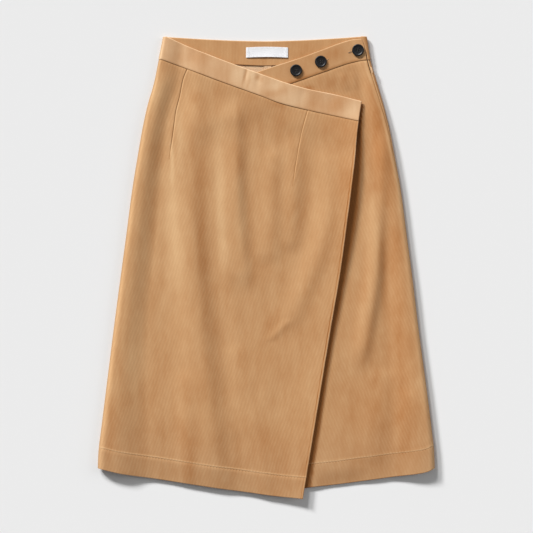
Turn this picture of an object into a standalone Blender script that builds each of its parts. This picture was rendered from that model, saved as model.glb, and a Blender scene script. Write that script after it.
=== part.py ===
"""Wrap skirt in needlecord, laid flat with its front up.

Sizes are in millimetres and become metres where a mesh is made. A point of
the cloth is given by x, measured to the right of the middle, and by "down",
measured from the waist's top corners towards the hem. +Z is up from the
surface that the skirt lies on, and every height is that of the middle of the
cloth's thickness.
"""

import math

import bmesh
import bpy
from mathutils import Vector

MM = 0.001

# ---------------------------------------------------------------- sizes (mm)
PANEL_THICK = 1.4          # one layer of cord
BAND_THICK = 2.6           # doubled waistband
SEAM_GAP = 0.3             # between two pieces where they are sewn together
TOP_Y = 395.9              # y of the waist's top corners (down = 0)
CENTRE_BACK = 2.6          # x of the centre-back seam

BUTTON_RADIUS = 10.3
BUTTON_HIGH = 2.6
BUTTON_RIM = 2.3           # width of the raised rim
BUTTON_WELL = 1.0          # depth of the dished middle
HOLE_RADIUS = 1.0
HOLE_SPREAD = 2.1          # hole centres from the button's middle

LABEL_WIDE = 72.0
LABEL_DEEP = 17.6
LABEL_THICK = 0.4
LABEL_X = 1.4              # middle of the label
LABEL_DOWN = 19.2          # its upper edge
LABEL_ARCH = 1.2           # rise of its upper edge at the middle

ALLOWANCE_WIDE = 11.5      # pressed seam allowance at the centre back
ALLOWANCE_THICK = 0.7

TAB_LONG = 10.0            # pale strip in the right side opening
TAB_DOWN = 53.0
TAB_THICK = 0.7

# How far along each piece its cross-sections lie, as shares of its length.
ROWS = (0.0, 0.02, 0.05, 0.085, 0.125, 0.17, 0.225, 0.29, 0.36, 0.43, 0.5,
        0.57, 0.645, 0.72, 0.79, 0.86, 0.92, 0.965, 1.0)
BAND_ROWS = (0.0, 0.34, 0.67, 1.0)


class Table:
    """Rows under named columns, read smoothly along the first column."""

    def __init__(self, names, *rows):
        self.names = names.split()
        self.rows = rows

    def at(self, name, where):
        col = self.names.index(name)
        xs = [row[0] for row in self.rows]
        ys = [row[col] for row in self.rows]
        if where <= xs[0]:
            return ys[0]
        if where >= xs[-1]:
            return ys[-1]
        i = max(k for k in range(len(xs) - 1) if xs[k] <= where)
        grade = [(ys[k + 1] - ys[k]) / (xs[k + 1] - xs[k])
                 for k in range(len(xs) - 1)]

        def tangent(k):
            if k == 0:
                return grade[0]
            if k == len(xs) - 1:
                return grade[-1]
            a, b = grade[k - 1], grade[k]
            return 0.0 if a * b <= 0 else 2 * a * b / (a + b)

        h = xs[i + 1] - xs[i]
        t = (where - xs[i]) / h
        return ((2 * t ** 3 - 3 * t ** 2 + 1) * ys[i]
                + (t ** 3 - 2 * t ** 2 + t) * h * tangent(i)
                + (3 * t ** 2 - 2 * t ** 3) * ys[i + 1]
                + (t ** 3 - t ** 2) * h * tangent(i + 1))


# Outline of the flat skirt seen from above.
OUTLINE = Table(
    "down   left    right",
    (0.0, -176.0, 171.5),
    (40.0, -184.0, 178.2),
    (80.0, -192.2, 189.8),
    (120.0, -203.6, 201.3),
    (160.0, -212.2, 211.2),
    (200.0, -219.2, 218.8),
    (260.0, -229.0, 229.8),
    (340.0, -239.6, 240.4),
    (420.0, -250.4, 251.0),
    (500.0, -261.0, 260.6),
    (580.0, -271.0, 271.4),
    (660.0, -281.0, 281.6),
    (715.0, -287.4, 287.6),
    (745.0, -288.6, 288.6),
)

# Edges of the three layers, across from their left end (0) to their right
# end (1): top edge of the band, seam between band and panel, and hem.
OVER = Table(
    "across top     seam   hem",
    (0.00, 1.0, 40.5, 739.5),
    (0.12, 19.0, 55.2, 749.3),
    (0.30, 42.6, 78.0, 758.9),
    (0.50, 66.8, 102.2, 769.7),
    (0.60, 78.6, 114.9, 774.8),
    (0.72, 90.2, 125.3, 780.4),
    (0.86, 99.8, 135.7, 787.0),
    (1.00, 111.4, 145.7, 791.6),
)
UNDER = Table(
    "across top     seam   hem",
    (0.00, 91.0, 130.0, 781.0),
    (0.20, 74.2, 112.0, 773.4),
    (0.40, 55.0, 93.3, 767.4),
    (0.60, 37.6, 74.7, 760.0),
    (0.75, 23.0, 59.8, 754.2),
    (0.88, 10.2, 47.4, 749.6),
    (0.95, 5.4, 42.8, 745.8),
    (1.00, 4.5, 41.0, 739.5),
)
BACK = Table(
    "across top     seam   hem",
    (0.00, 1.0, 40.5, 739.5),
    (0.18, 4.6, 45.6, 751.5),
    (0.35, 7.2, 48.6, 759.0),
    (0.50, 8.2, 50.6, 762.0),
    (0.65, 7.2, 48.6, 759.0),
    (0.82, 4.4, 45.4, 751.0),
    (1.00, 0.5, 41.0, 739.5),
)

# Free edges: x of the wrap edge on top, and of the hidden inner edge below it.
WRAP_EDGE = Table(
    "down   x",
    (108.0, 163.8),
    (146.0, 158.0),
    (171.0, 154.9),
    (200.0, 152.6),
    (240.0, 148.2),
    (320.0, 138.0),
    (400.0, 127.3),
    (500.0, 110.5),
    (600.0, 94.0),
    (700.0, 77.6),
    (792.0, 62.4),
)
INNER_EDGE = Table(
    "down   x",
    (131.0, -105.0),
    (450.0, -46.0),
    (781.0, 12.0),
)

# Rolled sides. "round" is the width of the rounded turn, "shelf" how far in
# the cloth stays at its top height, "reach" where it is down again, and
# "seam" how far in from the outline the side seam lies, above (+) or on the
# underside (-).
LEFT_SIDE = Table(
    "down   top   middle round shelf reach seam",
    (0.0, 7.2, 4.3, 5.6, 8.0, 40.0, -5.2),
    (45.0, 7.2, 4.3, 5.8, 8.0, 40.0, -4.6),
    (90.0, 8.6, 4.7, 8.0, 11.0, 41.0, -4.4),
    (145.0, 9.6, 5.0, 9.0, 13.0, 42.0, -2.6),
    (200.0, 9.9, 5.0, 10.0, 13.0, 45.0, -1.2),
    (300.0, 9.9, 5.0, 10.5, 14.0, 50.0, -0.5),
    (400.0, 9.9, 5.0, 10.8, 14.5, 53.0, -0.5),
    (500.0, 9.9, 5.0, 11.0, 15.0, 59.0, -0.5),
    (640.0, 10.4, 5.1, 11.5, 17.0, 77.0, -0.5),
    (745.0, 11.3, 5.3, 12.0, 30.0, 96.0, -0.5),
)
RIGHT_SIDE = Table(
    "down   top   middle round shelf reach seam gap",
    (0.0, 6.4, 4.1, 5.0, 6.0, 32.0, 9.6, 0.6),
    (18.0, 6.4, 4.1, 5.0, 6.0, 32.0, 5.5, 0.7),
    (40.0, 6.5, 4.1, 5.2, 7.0, 30.0, 4.8, 1.5),
    (62.0, 7.3, 4.3, 5.6, 8.0, 30.0, 5.0, 1.5),
    (70.0, 7.7, 4.4, 5.8, 9.0, 30.0, 4.9, 0.3),
    (100.0, 8.8, 4.7, 6.2, 10.0, 33.0, 4.3, 0.3),
    (145.0, 9.4, 4.9, 6.6, 11.0, 38.0, 2.6, 0.3),
    (200.0, 9.6, 5.0, 6.8, 11.0, 41.0, 1.1, 0.3),
    (280.0, 9.6, 5.0, 7.0, 12.0, 43.0, 0.2, 0.3),
    (400.0, 9.8, 5.0, 7.2, 12.0, 47.0, 0.2, 0.3),
    (520.0, 10.0, 5.0, 7.6, 12.0, 58.0, 0.2, 0.3),
    (660.0, 10.3, 5.1, 8.4, 13.0, 70.0, 0.2, 0.3),
    (745.0, 10.2, 5.2, 9.0, 14.0, 82.0, 0.2, 0.3),
)

# How high the wrap edge stands over its rest height.
WRAP_LIFT = Table(
    "down   lift",
    (100.0, 0.5),
    (124.0, 1.1),
    (146.0, 2.7),
    (185.0, 6.2),
    (235.0, 9.0),
    (300.0, 8.6),
    (350.0, 7.4),
    (452.0, 4.4),
    (554.0, 3.2),
    (657.0, 3.3),
    (743.0, 3.0),
    (792.0, 4.2),
)
WRAP_LIFT_WIDTH = 72.0

# How far the under front sinks on to the surface past the hem of the back.
HEM_SINK = 1.6

# Soft folds that run down the cloth. Each crest passes through three points
# and fades out at both ends.
FOLD_COLUMNS = ("layer", "x1", "down1", "x2", "down2", "x3", "down3",
                "high", "left_wide", "right_wide")
FOLDS = (
    ("over", -136, 70, -127, 330, -74, 840, 5.8, 36, 23),
    ("over", -53, 95, -51, 270, -32, 450, 4.4, 28, 14),
    ("over", -140, 560, -136, 660, -133, 790, 1.6, 18, 18),
    ("over", 10, 180, 9, 290, 6, 400, 2.2, 20, 17),
    ("over", 50, 160, 48, 270, 42, 380, 2.4, 17, 15),
    ("over", 92, 170, 104, 285, 32, 525, 2.4, 22, 18),
    ("under", 198, 150, 190, 380, 158, 590, 4.8, 18, 12),
    ("under", 205, 560, 190, 650, 176, 740, 1.2, 24, 24),
)

# Darts of the over front: share across, first and last row share, depth.
DART_COLUMNS = ("across", "end", "deep")
DARTS = ((0.146, 0.165, 0.7), (0.735, 0.120, 0.7))
DART_HALF_WIDTH = 0.016    # share across

BUTTONS = {                # name: x, down of the middle
    "button_1": (51.0, 58.8),
    "button_2": (93.3, 43.7),
    "button_3": (157.0, 24.2),
}


# ---------------------------------------------------------------- heights
def ease(t):
    t = min(max(t, 0.0), 1.0)
    return t * t * (3 - 2 * t)


def larger(a, b, soft=12.0):
    return 0.5 * (a + b + math.sqrt((a - b) ** 2 + soft * soft))


def over_seam(x):
    return OVER.at("seam", (x + 184.0) / 342.0)


def under_seam(x):
    return UNDER.at("seam", (x + 105.0) / 283.0)


def fold_height(x, down, layer):
    total = 0.0
    for row in FOLDS:
        fold = dict(zip(FOLD_COLUMNS, row))
        t = (down - fold["down1"]) / (fold["down3"] - fold["down1"])
        if fold["layer"] != layer or not 0 < t < 1:
            continue
        crest = Table("down x", (fold["down1"], fold["x1"]),
                      (fold["down2"], fold["x2"]),
                      (fold["down3"], fold["x3"])).at("x", down)
        wide = fold["left_wide"] if x < crest else fold["right_wide"]
        total += (fold["high"] * math.sin(math.pi * t) ** 0.6
                  * ease(min(t, 1 - t) / 0.14)
                  * math.exp(-((x - crest) / wide) ** 2))
    return total


def side_height(side, distance, down, base):
    """Height near a rolled side, at a distance in from its outermost point."""
    shelf, reach = side.at("shelf", down), side.at("reach", down)
    share = ease((distance - shelf) / (reach - shelf))
    return side.at("top", down) * (1 - share) + base * share


def under_height(x, down):
    base = 4.4 - 0.9 * ease((down - under_seam(x)) / 50.0)
    distance = OUTLINE.at("right", down) - PANEL_THICK / 2 - x
    past = ease((down - BACK.at("hem", (x + 288.0) / 576.0) + 18.0) / 30.0)
    sunk = HEM_SINK * past * math.exp(-((x - 132.0) / 42.0) ** 4)
    return (side_height(RIGHT_SIDE, distance, down, base)
            + fold_height(x, down, "under") - sunk)


def over_height(x, down):
    alone = 4.4 - 0.9 * ease((down - over_seam(x)) / 50.0)
    clear = larger(over_seam(x), under_seam(x)) + 8.0
    below = 4.4 - 0.9 * ease((down - under_seam(x)) / 50.0)
    on_under = below + 3.1 - 1.1 * ease((down - clear) / 60.0)
    step = ease((x - INNER_EDGE.at("x", down) + 48.0) / 42.0)
    base = alone + (on_under - alone) * step
    distance = x - OUTLINE.at("left", down) - PANEL_THICK / 2
    height = side_height(LEFT_SIDE, distance, down, base)
    free = 1 - (WRAP_EDGE.at("x", down) - x) / WRAP_LIFT_WIDTH
    lift = WRAP_LIFT.at("lift", down) * max(free, 0.0) ** 1.7
    return height + lift + fold_height(x, down, "over")


# ---------------------------------------------------------------- rolled sides
def side_turn(side, down, inset):
    """Turn along a rolled side where the cloth is "inset" in from the
    outermost point: -1 on the surface, 0 outermost, 1 on top."""
    wide = side.at("round", down)
    share = min(abs(inset) / wide, 1.0)
    turn = math.acos(1 - share) / (math.pi / 2)
    turn += max(abs(inset) - wide, 0.0) / wide
    return math.copysign(turn, inset)


def turn_step(side, down, turn, gap):
    """Part of a turn that a gap in millimetres takes up."""
    wide = side.at("round", down)
    high = side.at("middle", down) - 0.7
    angle = min(abs(turn), 1.0) * math.pi / 2
    radius = math.hypot(wide * math.sin(angle), high * math.cos(angle))
    return gap / radius / (math.pi / 2)


def side_point(side, sign, edge, down, turn, thick, height):
    """x and z at a turn of the side; sign is +1 for the left, whose cloth
    lies to the right of its edge, and -1 for the right."""
    wide = side.at("round", down)
    middle = side.at("middle", down)
    angle = min(max(turn, -1.0), 1.0) * math.pi / 2
    distance = wide * (1 - math.cos(angle)) + wide * max(abs(turn) - 1, 0.0)
    x = edge + sign * (PANEL_THICK / 2 + distance)
    if turn <= 0:
        z = middle + (middle - thick / 2) * math.sin(angle)
    elif turn <= 1:
        top_x = edge + sign * (PANEL_THICK / 2 + wide)
        z = middle + (height(top_x, down) - middle) * math.sin(angle)
    else:
        z = height(x, down)
    return x, z


def spread(first, last, shares):
    return [first + (last - first) * share for share in shares]


# ---------------------------------------------------------------- pieces
def in_metres(x, down, z):
    return Vector((x * MM, (TOP_Y - down) * MM, z * MM))


def front_row(layer, part, share, thick):
    """One cross-section of a front piece, from its side to its free edge."""
    table, side, sign = ((OVER, LEFT_SIDE, 1) if layer == "over"
                         else (UNDER, RIGHT_SIDE, -1))
    height = over_height if layer == "over" else under_height
    first, last = ("top", "seam") if part == "band" else ("seam", "hem")
    half_gap = SEAM_GAP / 2

    def down_at(across):
        a = table.at(first, across) + (half_gap if part == "panel" else 0)
        b = table.at(last, across) - (half_gap if part == "band" else 0)
        return a + (b - a) * share

    side_across = 0.0 if layer == "over" else 1.0
    side_down = down_at(side_across)
    free_down = down_at(1.0 - side_across)
    edge = OUTLINE.at("left" if layer == "over" else "right", side_down)
    free = (WRAP_EDGE if layer == "over" else INNER_EDGE).at("x", free_down)

    inset = side.at("seam", side_down)
    gap = side.at("gap", side_down) if layer == "under" else SEAM_GAP
    turn = side_turn(side, side_down, inset)
    turn += turn_step(side, side_down, turn, gap / 2)
    turned = spread(turn, max(1.0, turn + 0.3), FRONT_TURNS)

    points = []
    for a_turn in turned:
        x, z = side_point(side, sign, edge, side_down, a_turn, thick, height)
        points.append((x, z))
    start = points[-1][0]
    darts = DARTS if (layer, part) == ("over", "panel") else ()
    for across in FRONT_ACROSS[layer]:
        x = start + (free - start) * across
        points.append((x, None))

    row = []
    seam_x = edge + sign * (PANEL_THICK / 2 + abs(inset))
    for x, z in points:
        across = min(max((x - seam_x) / (free - seam_x), 0.0), 1.0)
        if layer == "under":
            across = 1 - across
        down = down_at(across)
        if z is None:
            z = height(x, down)
            for dart_across, dart_end, deep in darts:
                off = abs(across - dart_across) / DART_HALF_WIDTH
                if off < 1 and share < dart_end:
                    z -= deep * (1 - off) * (1 - share / dart_end) ** 0.5
        row.append(in_metres(x, down, z))
    return row


def shares_with(count, extra=()):
    """Even shares from 0 to 1 without the first, with some set in place."""
    shares = [i / count for i in range(1, count + 1)]
    for value in extra:
        near = min(range(len(shares)), key=lambda k: abs(shares[k] - value))
        if shares[near] not in (1.0,):
            shares[near] = value
    return sorted(shares)


FRONT_TURNS = (0.0, 0.06, 0.25, 0.5, 0.75, 1.0)
OVER_START = 0.035         # share across where the rolled side ends
DART_SHARES = [((across + off) - OVER_START) / (1 - OVER_START)
               for across, _, _ in DARTS
               for off in (-DART_HALF_WIDTH, 0.0, DART_HALF_WIDTH)]
FRONT_ACROSS = {
    "over": shares_with(25, DART_SHARES),
    "under": shares_with(20),
}


def back_row(part, half, share, thick):
    """One cross-section of the back, from the centre or right to the left."""
    first, last = ("top", "seam") if part == "band" else ("seam", "hem")
    half_gap = SEAM_GAP / 2

    def down_at(across):
        a = BACK.at(first, across) + (half_gap if part == "panel" else 0)
        b = BACK.at(last, across) - (half_gap if part == "band" else 0)
        return a + (b - a) * share

    ends = {}
    for name, side, sign, across in (("left", LEFT_SIDE, 1, 0.0),
                                     ("right", RIGHT_SIDE, -1, 1.0)):
        side_down = down_at(across)
        edge = OUTLINE.at(name, side_down)
        gap = side.at("gap", side_down) if name == "right" else SEAM_GAP
        turn = side_turn(side, side_down, side.at("seam", side_down))
        turn -= turn_step(side, side_down, turn, gap / 2)
        height = over_height if name == "left" else under_height
        shares = BACK_TURNS[name]
        ends[name] = [
            side_point(side, sign, edge, side_down, a_turn, thick, height)
            for a_turn in spread(-1.0, turn, shares)]
        inset = abs(side.at("seam", side_down))
        ends[name + "_seam"] = edge + sign * (PANEL_THICK / 2 + inset)

    flat = thick / 2
    if half == "whole":
        a, b = ends["left"][0][0], ends["right"][0][0]
        between = [(x, flat) for x in spread(a, b, BAND_BETWEEN)]
        points = ends["left"][::-1] + between + ends["right"]
    elif half == "left":
        a, b = ends["left"][0][0], CENTRE_BACK - half_gap
        points = ends["left"][::-1] + [(x, flat) for x in
                                       spread(a, b, HALF_BETWEEN)]
    else:
        a, b = ends["right"][0][0], CENTRE_BACK + half_gap
        points = [(x, flat) for x in
                  spread(a, b, HALF_BETWEEN)][::-1] + ends["right"]

    left, right = ends["left_seam"], ends["right_seam"]
    return [in_metres(x, down_at(min(max((x - left) / (right - left), 0.0),
                                     1.0)), z)
            for x, z in points]


BACK_TURNS = {
    "left": (0.0, 0.2, 0.4, 0.6, 0.8, 0.93, 1.0),
    "right": (0.0, 0.12, 0.25, 0.38, 0.5, 0.62, 0.74, 0.86, 0.95, 1.0),
}
BAND_BETWEEN = [i / 16 for i in range(1, 16)]
HALF_BETWEEN = (0.12, 0.3, 0.5, 0.7, 0.88, 1.0)


# ---------------------------------------------------------------- objects
def empty_scene():
    for obj in list(bpy.data.objects):
        bpy.data.objects.remove(obj, do_unlink=True)
    for group in list(bpy.data.collections):
        bpy.data.collections.remove(group)


def new_collection(name):
    group = bpy.data.collections.new(name)
    bpy.context.scene.collection.children.link(group)
    return group


def principled(name, colour, roughness, sheen=0.0):
    material = bpy.data.materials.new(name)
    material.use_nodes = True
    shader = material.node_tree.nodes["Principled BSDF"]
    shader.inputs["Base Color"].default_value = (*colour, 1.0)
    shader.inputs["Roughness"].default_value = roughness
    shader.inputs["Metallic"].default_value = 0.0
    shader.inputs["Sheen Weight"].default_value = sheen
    material.diffuse_color = (*colour, 1.0)
    return material


def add_object(name, mesh, material, group):
    obj = bpy.data.objects.new(name, mesh)
    obj.data.materials.append(material)
    group.objects.link(obj)
    return obj


def cloth(name, rows, thick, material, group):
    """A wall of even thickness through rows of points."""
    bm = bmesh.new()
    grid = [[bm.verts.new(point) for point in row] for row in rows]
    for upper, lower in zip(grid, grid[1:]):
        for i in range(len(upper) - 1):
            bm.faces.new((upper[i], lower[i], lower[i + 1], upper[i + 1]))
    bmesh.ops.recalc_face_normals(bm, faces=bm.faces)
    mesh = bpy.data.meshes.new(name)
    bm.to_mesh(mesh)
    bm.free()
    mesh.shade_smooth()
    obj = add_object(name, mesh, material, group)
    wall = obj.modifiers.new("Wall", "SOLIDIFY")
    wall.thickness = thick * MM
    wall.offset = 0.0
    wall.use_even_offset = True
    wall.use_quality_normals = True
    return obj


def surface_slope(x, down):
    """Rise of the under waistband's surface per millimetre in x and y."""
    step = 4.0
    return ((under_height(x + step, down) - under_height(x - step, down))
            / (2 * step),
            (under_height(x, down - step) - under_height(x, down + step))
            / (2 * step))


def button_profile():
    """Half section of a button, from the top of its axis out and under."""
    r, h = BUTTON_RADIUS, BUTTON_HIGH
    well_r = r - BUTTON_RIM
    return ((0.0, h - BUTTON_WELL), (well_r - 1.2, h - BUTTON_WELL),
            (well_r, h - 0.35), (well_r + 0.9, h), (r - 0.7, h - 0.15),
            (r, h - 0.9), (r - 0.1, h * 0.42), (r - 1.6, 0.35),
            (r - 3.6, 0.0), (0.0, 0.0))


def add_button(name, x, down, material, group, cutters):
    mesh = bpy.data.meshes.new(name)
    profile = button_profile()
    mesh.from_pydata([(a * MM, 0, b * MM) for a, b in profile],
                     [(i, i + 1) for i in range(len(profile) - 1)], [])
    obj = add_object(name, mesh, material, group)
    screw = obj.modifiers.new("Turn", "SCREW")
    screw.steps = screw.render_steps = 24
    screw.use_merge_vertices = True
    screw.merge_threshold = 0.00001
    screw.use_normal_calculate = False

    across, along = surface_slope(x, down)
    normal = Vector((-across, -along, 1.0)).normalized()
    centre = under_height(x, down)
    proud = 0.0
    for i in range(24):
        angle = i * math.pi / 12
        a, b = BUTTON_RADIUS * math.cos(angle), BUTTON_RADIUS * math.sin(angle)
        plane = centre + across * a + along * b
        proud = max(proud, under_height(x + a, down - b) - plane)
    rest = centre + BAND_THICK / 2 + SEAM_GAP + proud
    obj.location = in_metres(x, down, rest)
    obj.rotation_mode = "QUATERNION"
    obj.rotation_quaternion = Vector((0, 0, 1)).rotation_difference(normal)

    for i in range(4):
        angle = math.pi / 4 + i * math.pi / 2
        bm = bmesh.new()
        bmesh.ops.create_cone(bm, cap_ends=True, segments=10,
                              radius1=HOLE_RADIUS * MM,
                              radius2=HOLE_RADIUS * MM,
                              depth=3 * BUTTON_HIGH * MM)
        hole_mesh = bpy.data.meshes.new(f"{name}_hole_{i + 1}")
        bm.to_mesh(hole_mesh)
        bm.free()
        hole = bpy.data.objects.new(hole_mesh.name, hole_mesh)
        cutters.objects.link(hole)
        hole.parent = obj
        hole.location = (HOLE_SPREAD * MM * math.cos(angle),
                         HOLE_SPREAD * MM * math.sin(angle),
                         0.5 * BUTTON_HIGH * MM)
        hole.hide_render = True
        hole.display_type = "WIRE"
        cut = obj.modifiers.new(f"Hole {i + 1}", "BOOLEAN")
        cut.operation = "DIFFERENCE"
        cut.solver = "EXACT"
        cut.object = hole
    return obj


def label_rows():
    low = BAND_THICK + SEAM_GAP + LABEL_THICK / 2
    rows = []
    for v in (0.0, 0.5, 1.0):
        row = []
        for i in range(9):
            u = i / 8
            arch = LABEL_ARCH * 4 * u * (1 - u)
            x = LABEL_X + (u - 0.5) * LABEL_WIDE
            down = LABEL_DOWN + LABEL_DEEP * v - arch
            lift = 0.9 * v * v * (4 * u * (1 - u)) ** 0.5
            row.append(in_metres(x, down, low + lift))
        rows.append(row)
    return rows


def allowance_rows():
    z = PANEL_THICK + SEAM_GAP + ALLOWANCE_THICK / 2
    half = ALLOWANCE_WIDE / 2
    start, end = BACK.at("seam", 0.5) + 0.6, BACK.at("hem", 0.5) - 1.0
    return [[in_metres(CENTRE_BACK + side * half, start + (end - start) * t, z)
             for side in (-1, 1)] for t in (0, 0.25, 0.5, 0.75, 1)]


def tab_rows():
    """A strip on the shoulder of the right side, moved out from the back."""
    rows = []
    for v in (0.0, 0.33, 0.67, 1.0):
        down = TAB_DOWN + TAB_LONG * v
        edge = OUTLINE.at("right", down)
        seam = side_turn(RIGHT_SIDE, down, RIGHT_SIDE.at("seam", down))
        row = []
        for turn in (seam - 0.18, seam - 0.36):
            x, z = side_point(RIGHT_SIDE, -1, edge, down, turn,
                              PANEL_THICK, under_height)
            bend = turn * math.pi / 2
            out = PANEL_THICK / 2 + SEAM_GAP + 0.15 + TAB_THICK / 2
            row.append(in_metres(x + out * math.cos(bend), down,
                                 z + out * math.sin(bend)))
        rows.append(row)
    return rows


def build():
    empty_scene()
    skirt = new_collection("wrap_skirt")
    cutters = new_collection("cutters")

    cord = (0.53, 0.30, 0.14)
    cord_light = (0.62, 0.38, 0.20)
    finishes = {
        "back_left": principled("cord_back_left", cord, 0.9, 0.4),
        "back_right": principled("cord_back_right", cord, 0.9, 0.4),
        "centre_back_seam": principled("cord_seam", cord_light, 0.9, 0.3),
        "back_waistband": principled("cord_back_band", cord, 0.9, 0.4),
        "front_under": principled("cord_under", cord, 0.9, 0.4),
        "under_waistband": principled("cord_under_band", cord, 0.9, 0.4),
        "front_over": principled("cord_over", cord, 0.9, 0.4),
        "over_waistband": principled("cord_over_band", cord_light, 0.9, 0.4),
        "label": principled("label_white", (0.84, 0.84, 0.86), 0.6),
        "side_tab": principled("tab_pale", cord_light, 0.8),
    }

    sewn = {
        "back_left": ([back_row("panel", "left", t, PANEL_THICK)
                       for t in ROWS], PANEL_THICK),
        "back_right": ([back_row("panel", "right", t, PANEL_THICK)
                        for t in ROWS], PANEL_THICK),
        "back_waistband": ([back_row("band", "whole", t, BAND_THICK)
                            for t in BAND_ROWS], BAND_THICK),
        "front_under": ([front_row("under", "panel", t, PANEL_THICK)
                         for t in ROWS], PANEL_THICK),
        "under_waistband": ([front_row("under", "band", t, BAND_THICK)
                             for t in BAND_ROWS], BAND_THICK),
        "front_over": ([front_row("over", "panel", t, PANEL_THICK)
                        for t in ROWS], PANEL_THICK),
        "over_waistband": ([front_row("over", "band", t, BAND_THICK)
                            for t in BAND_ROWS], BAND_THICK),
        "centre_back_seam": (allowance_rows(), ALLOWANCE_THICK),
        "label": (label_rows(), LABEL_THICK),
        "side_tab": (tab_rows(), TAB_THICK),
    }
    for name, (rows, thick) in sewn.items():
        cloth(name, rows, thick, finishes[name], skirt)

    for name, (x, down) in BUTTONS.items():
        black = principled("black_" + name, (0.012, 0.012, 0.014), 0.28)
        add_button(name, x, down, black, skirt, cutters)


build()
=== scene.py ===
import math

import bpy
import numpy as np
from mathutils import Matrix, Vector


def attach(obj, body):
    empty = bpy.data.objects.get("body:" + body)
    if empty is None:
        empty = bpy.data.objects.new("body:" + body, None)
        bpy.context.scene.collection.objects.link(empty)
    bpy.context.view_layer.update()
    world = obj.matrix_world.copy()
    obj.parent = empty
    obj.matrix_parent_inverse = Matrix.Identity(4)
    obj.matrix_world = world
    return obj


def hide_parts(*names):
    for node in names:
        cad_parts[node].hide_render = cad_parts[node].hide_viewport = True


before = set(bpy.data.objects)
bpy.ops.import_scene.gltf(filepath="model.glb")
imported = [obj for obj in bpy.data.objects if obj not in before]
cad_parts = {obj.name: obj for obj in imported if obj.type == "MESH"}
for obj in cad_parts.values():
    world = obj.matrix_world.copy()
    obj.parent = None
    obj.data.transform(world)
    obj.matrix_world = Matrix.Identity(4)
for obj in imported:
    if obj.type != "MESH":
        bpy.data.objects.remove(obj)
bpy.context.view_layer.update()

# Sizes are in millimetres and become metres where a mesh is made. x is
# measured to the right of the middle, "down" from the waist's top corners
# towards the hem, and z is the height of the middle of the cloth's thickness.
MM = 0.001
PANEL_THICK = 1.4
BAND_THICK = 2.6
SEAM_GAP = 0.3
TOP_Y = 395.9
CENTRE_BACK = 2.6
HEM_OVER = 36.5            # depth of the hem turn-ups
HEM_UNDER = 40.0
HEM_BACK = 38.0
TURN_UP = 0.5              # how much the turned-up layer adds on the inside

BUTTON_RADIUS = 10.3
BUTTON_HIGH = 2.6
LABEL_WIDE = 72.0
LABEL_DEEP = 17.6
LABEL_THICK = 0.45
LABEL_X = 1.4
LABEL_DOWN = 19.2
LABEL_ARCH = 1.2
ALLOWANCE_WIDE = 11.5
TAB_LONG = 10.0
TAB_DOWN = 53.0


class Table:
    """Rows under named columns, read smoothly along the first column."""

    def __init__(self, names, *rows):
        self.names = names.split()
        self.rows = np.array(rows, float)

    def at(self, name, where):
        where = np.asarray(where, float)
        xs = self.rows[:, 0]
        ys = self.rows[:, self.names.index(name)]
        grade = np.diff(ys) / np.diff(xs)
        a, b = grade[:-1], grade[1:]
        both = a + b
        inner = np.where(a * b > 0, 2 * a * b / np.where(both == 0, 1, both), 0.0)
        tangent = np.concatenate([grade[:1], inner, grade[-1:]])
        w = np.clip(where, xs[0], xs[-1])
        i = np.clip(np.searchsorted(xs, w, side="right") - 1, 0, len(xs) - 2)
        h = xs[i + 1] - xs[i]
        t = (w - xs[i]) / h
        return ((2 * t ** 3 - 3 * t ** 2 + 1) * ys[i]
                + (t ** 3 - 2 * t ** 2 + t) * h * tangent[i]
                + (3 * t ** 2 - 2 * t ** 3) * ys[i + 1]
                + (t ** 3 - t ** 2) * h * tangent[i + 1])


# Outline of the flat skirt seen from above.
OUTLINE = Table(
    "down   left    right",
    (0.0, -176.0, 171.5),
    (40.0, -184.0, 178.2),
    (80.0, -192.2, 189.8),
    (120.0, -203.6, 201.3),
    (160.0, -212.2, 211.2),
    (200.0, -219.2, 218.8),
    (260.0, -229.0, 229.8),
    (340.0, -239.6, 240.4),
    (420.0, -250.4, 251.0),
    (500.0, -261.0, 260.6),
    (580.0, -271.0, 271.4),
    (660.0, -281.0, 281.6),
    (715.0, -287.4, 287.6),
    (745.0, -288.6, 288.6),
)

# Edges of the layers, across from their left end (0) to their right end (1).
OVER = Table(
    "across top     seam   hem",
    (0.00, 1.0, 40.5, 739.5),
    (0.12, 19.0, 55.2, 749.3),
    (0.30, 42.6, 78.0, 758.9),
    (0.50, 66.8, 102.2, 769.7),
    (0.60, 78.6, 114.9, 774.8),
    (0.72, 90.2, 125.3, 780.4),
    (0.86, 99.8, 135.7, 787.0),
    (1.00, 111.4, 145.7, 791.6),
)
UNDER = Table(
    "across top     seam   hem",
    (0.00, 91.0, 130.0, 781.0),
    (0.20, 74.2, 112.0, 773.4),
    (0.40, 55.0, 93.3, 767.4),
    (0.60, 37.6, 74.7, 760.0),
    (0.75, 23.0, 59.8, 754.2),
    (0.88, 10.2, 47.4, 749.6),
    (0.95, 5.4, 42.8, 745.8),
    (1.00, 4.5, 41.0, 739.5),
)
BACK = Table(
    "across top     seam   hem",
    (0.00, 1.0, 40.5, 739.5),
    (0.18, 4.6, 45.6, 751.5),
    (0.35, 7.2, 48.6, 759.0),
    (0.50, 8.2, 50.6, 762.0),
    (0.65, 7.2, 48.6, 759.0),
    (0.82, 4.4, 45.4, 751.0),
    (1.00, 0.5, 41.0, 739.5),
)

WRAP_EDGE = Table(
    "down   x",
    (108.0, 163.8),
    (146.0, 158.0),
    (171.0, 154.9),
    (200.0, 152.6),
    (240.0, 148.2),
    (320.0, 138.0),
    (400.0, 127.3),
    (500.0, 110.5),
    (600.0, 94.0),
    (700.0, 77.6),
    (792.0, 62.4),
)
INNER_EDGE = Table(
    "down   x",
    (131.0, -105.0),
    (450.0, -46.0),
    (781.0, 12.0),
)

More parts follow.
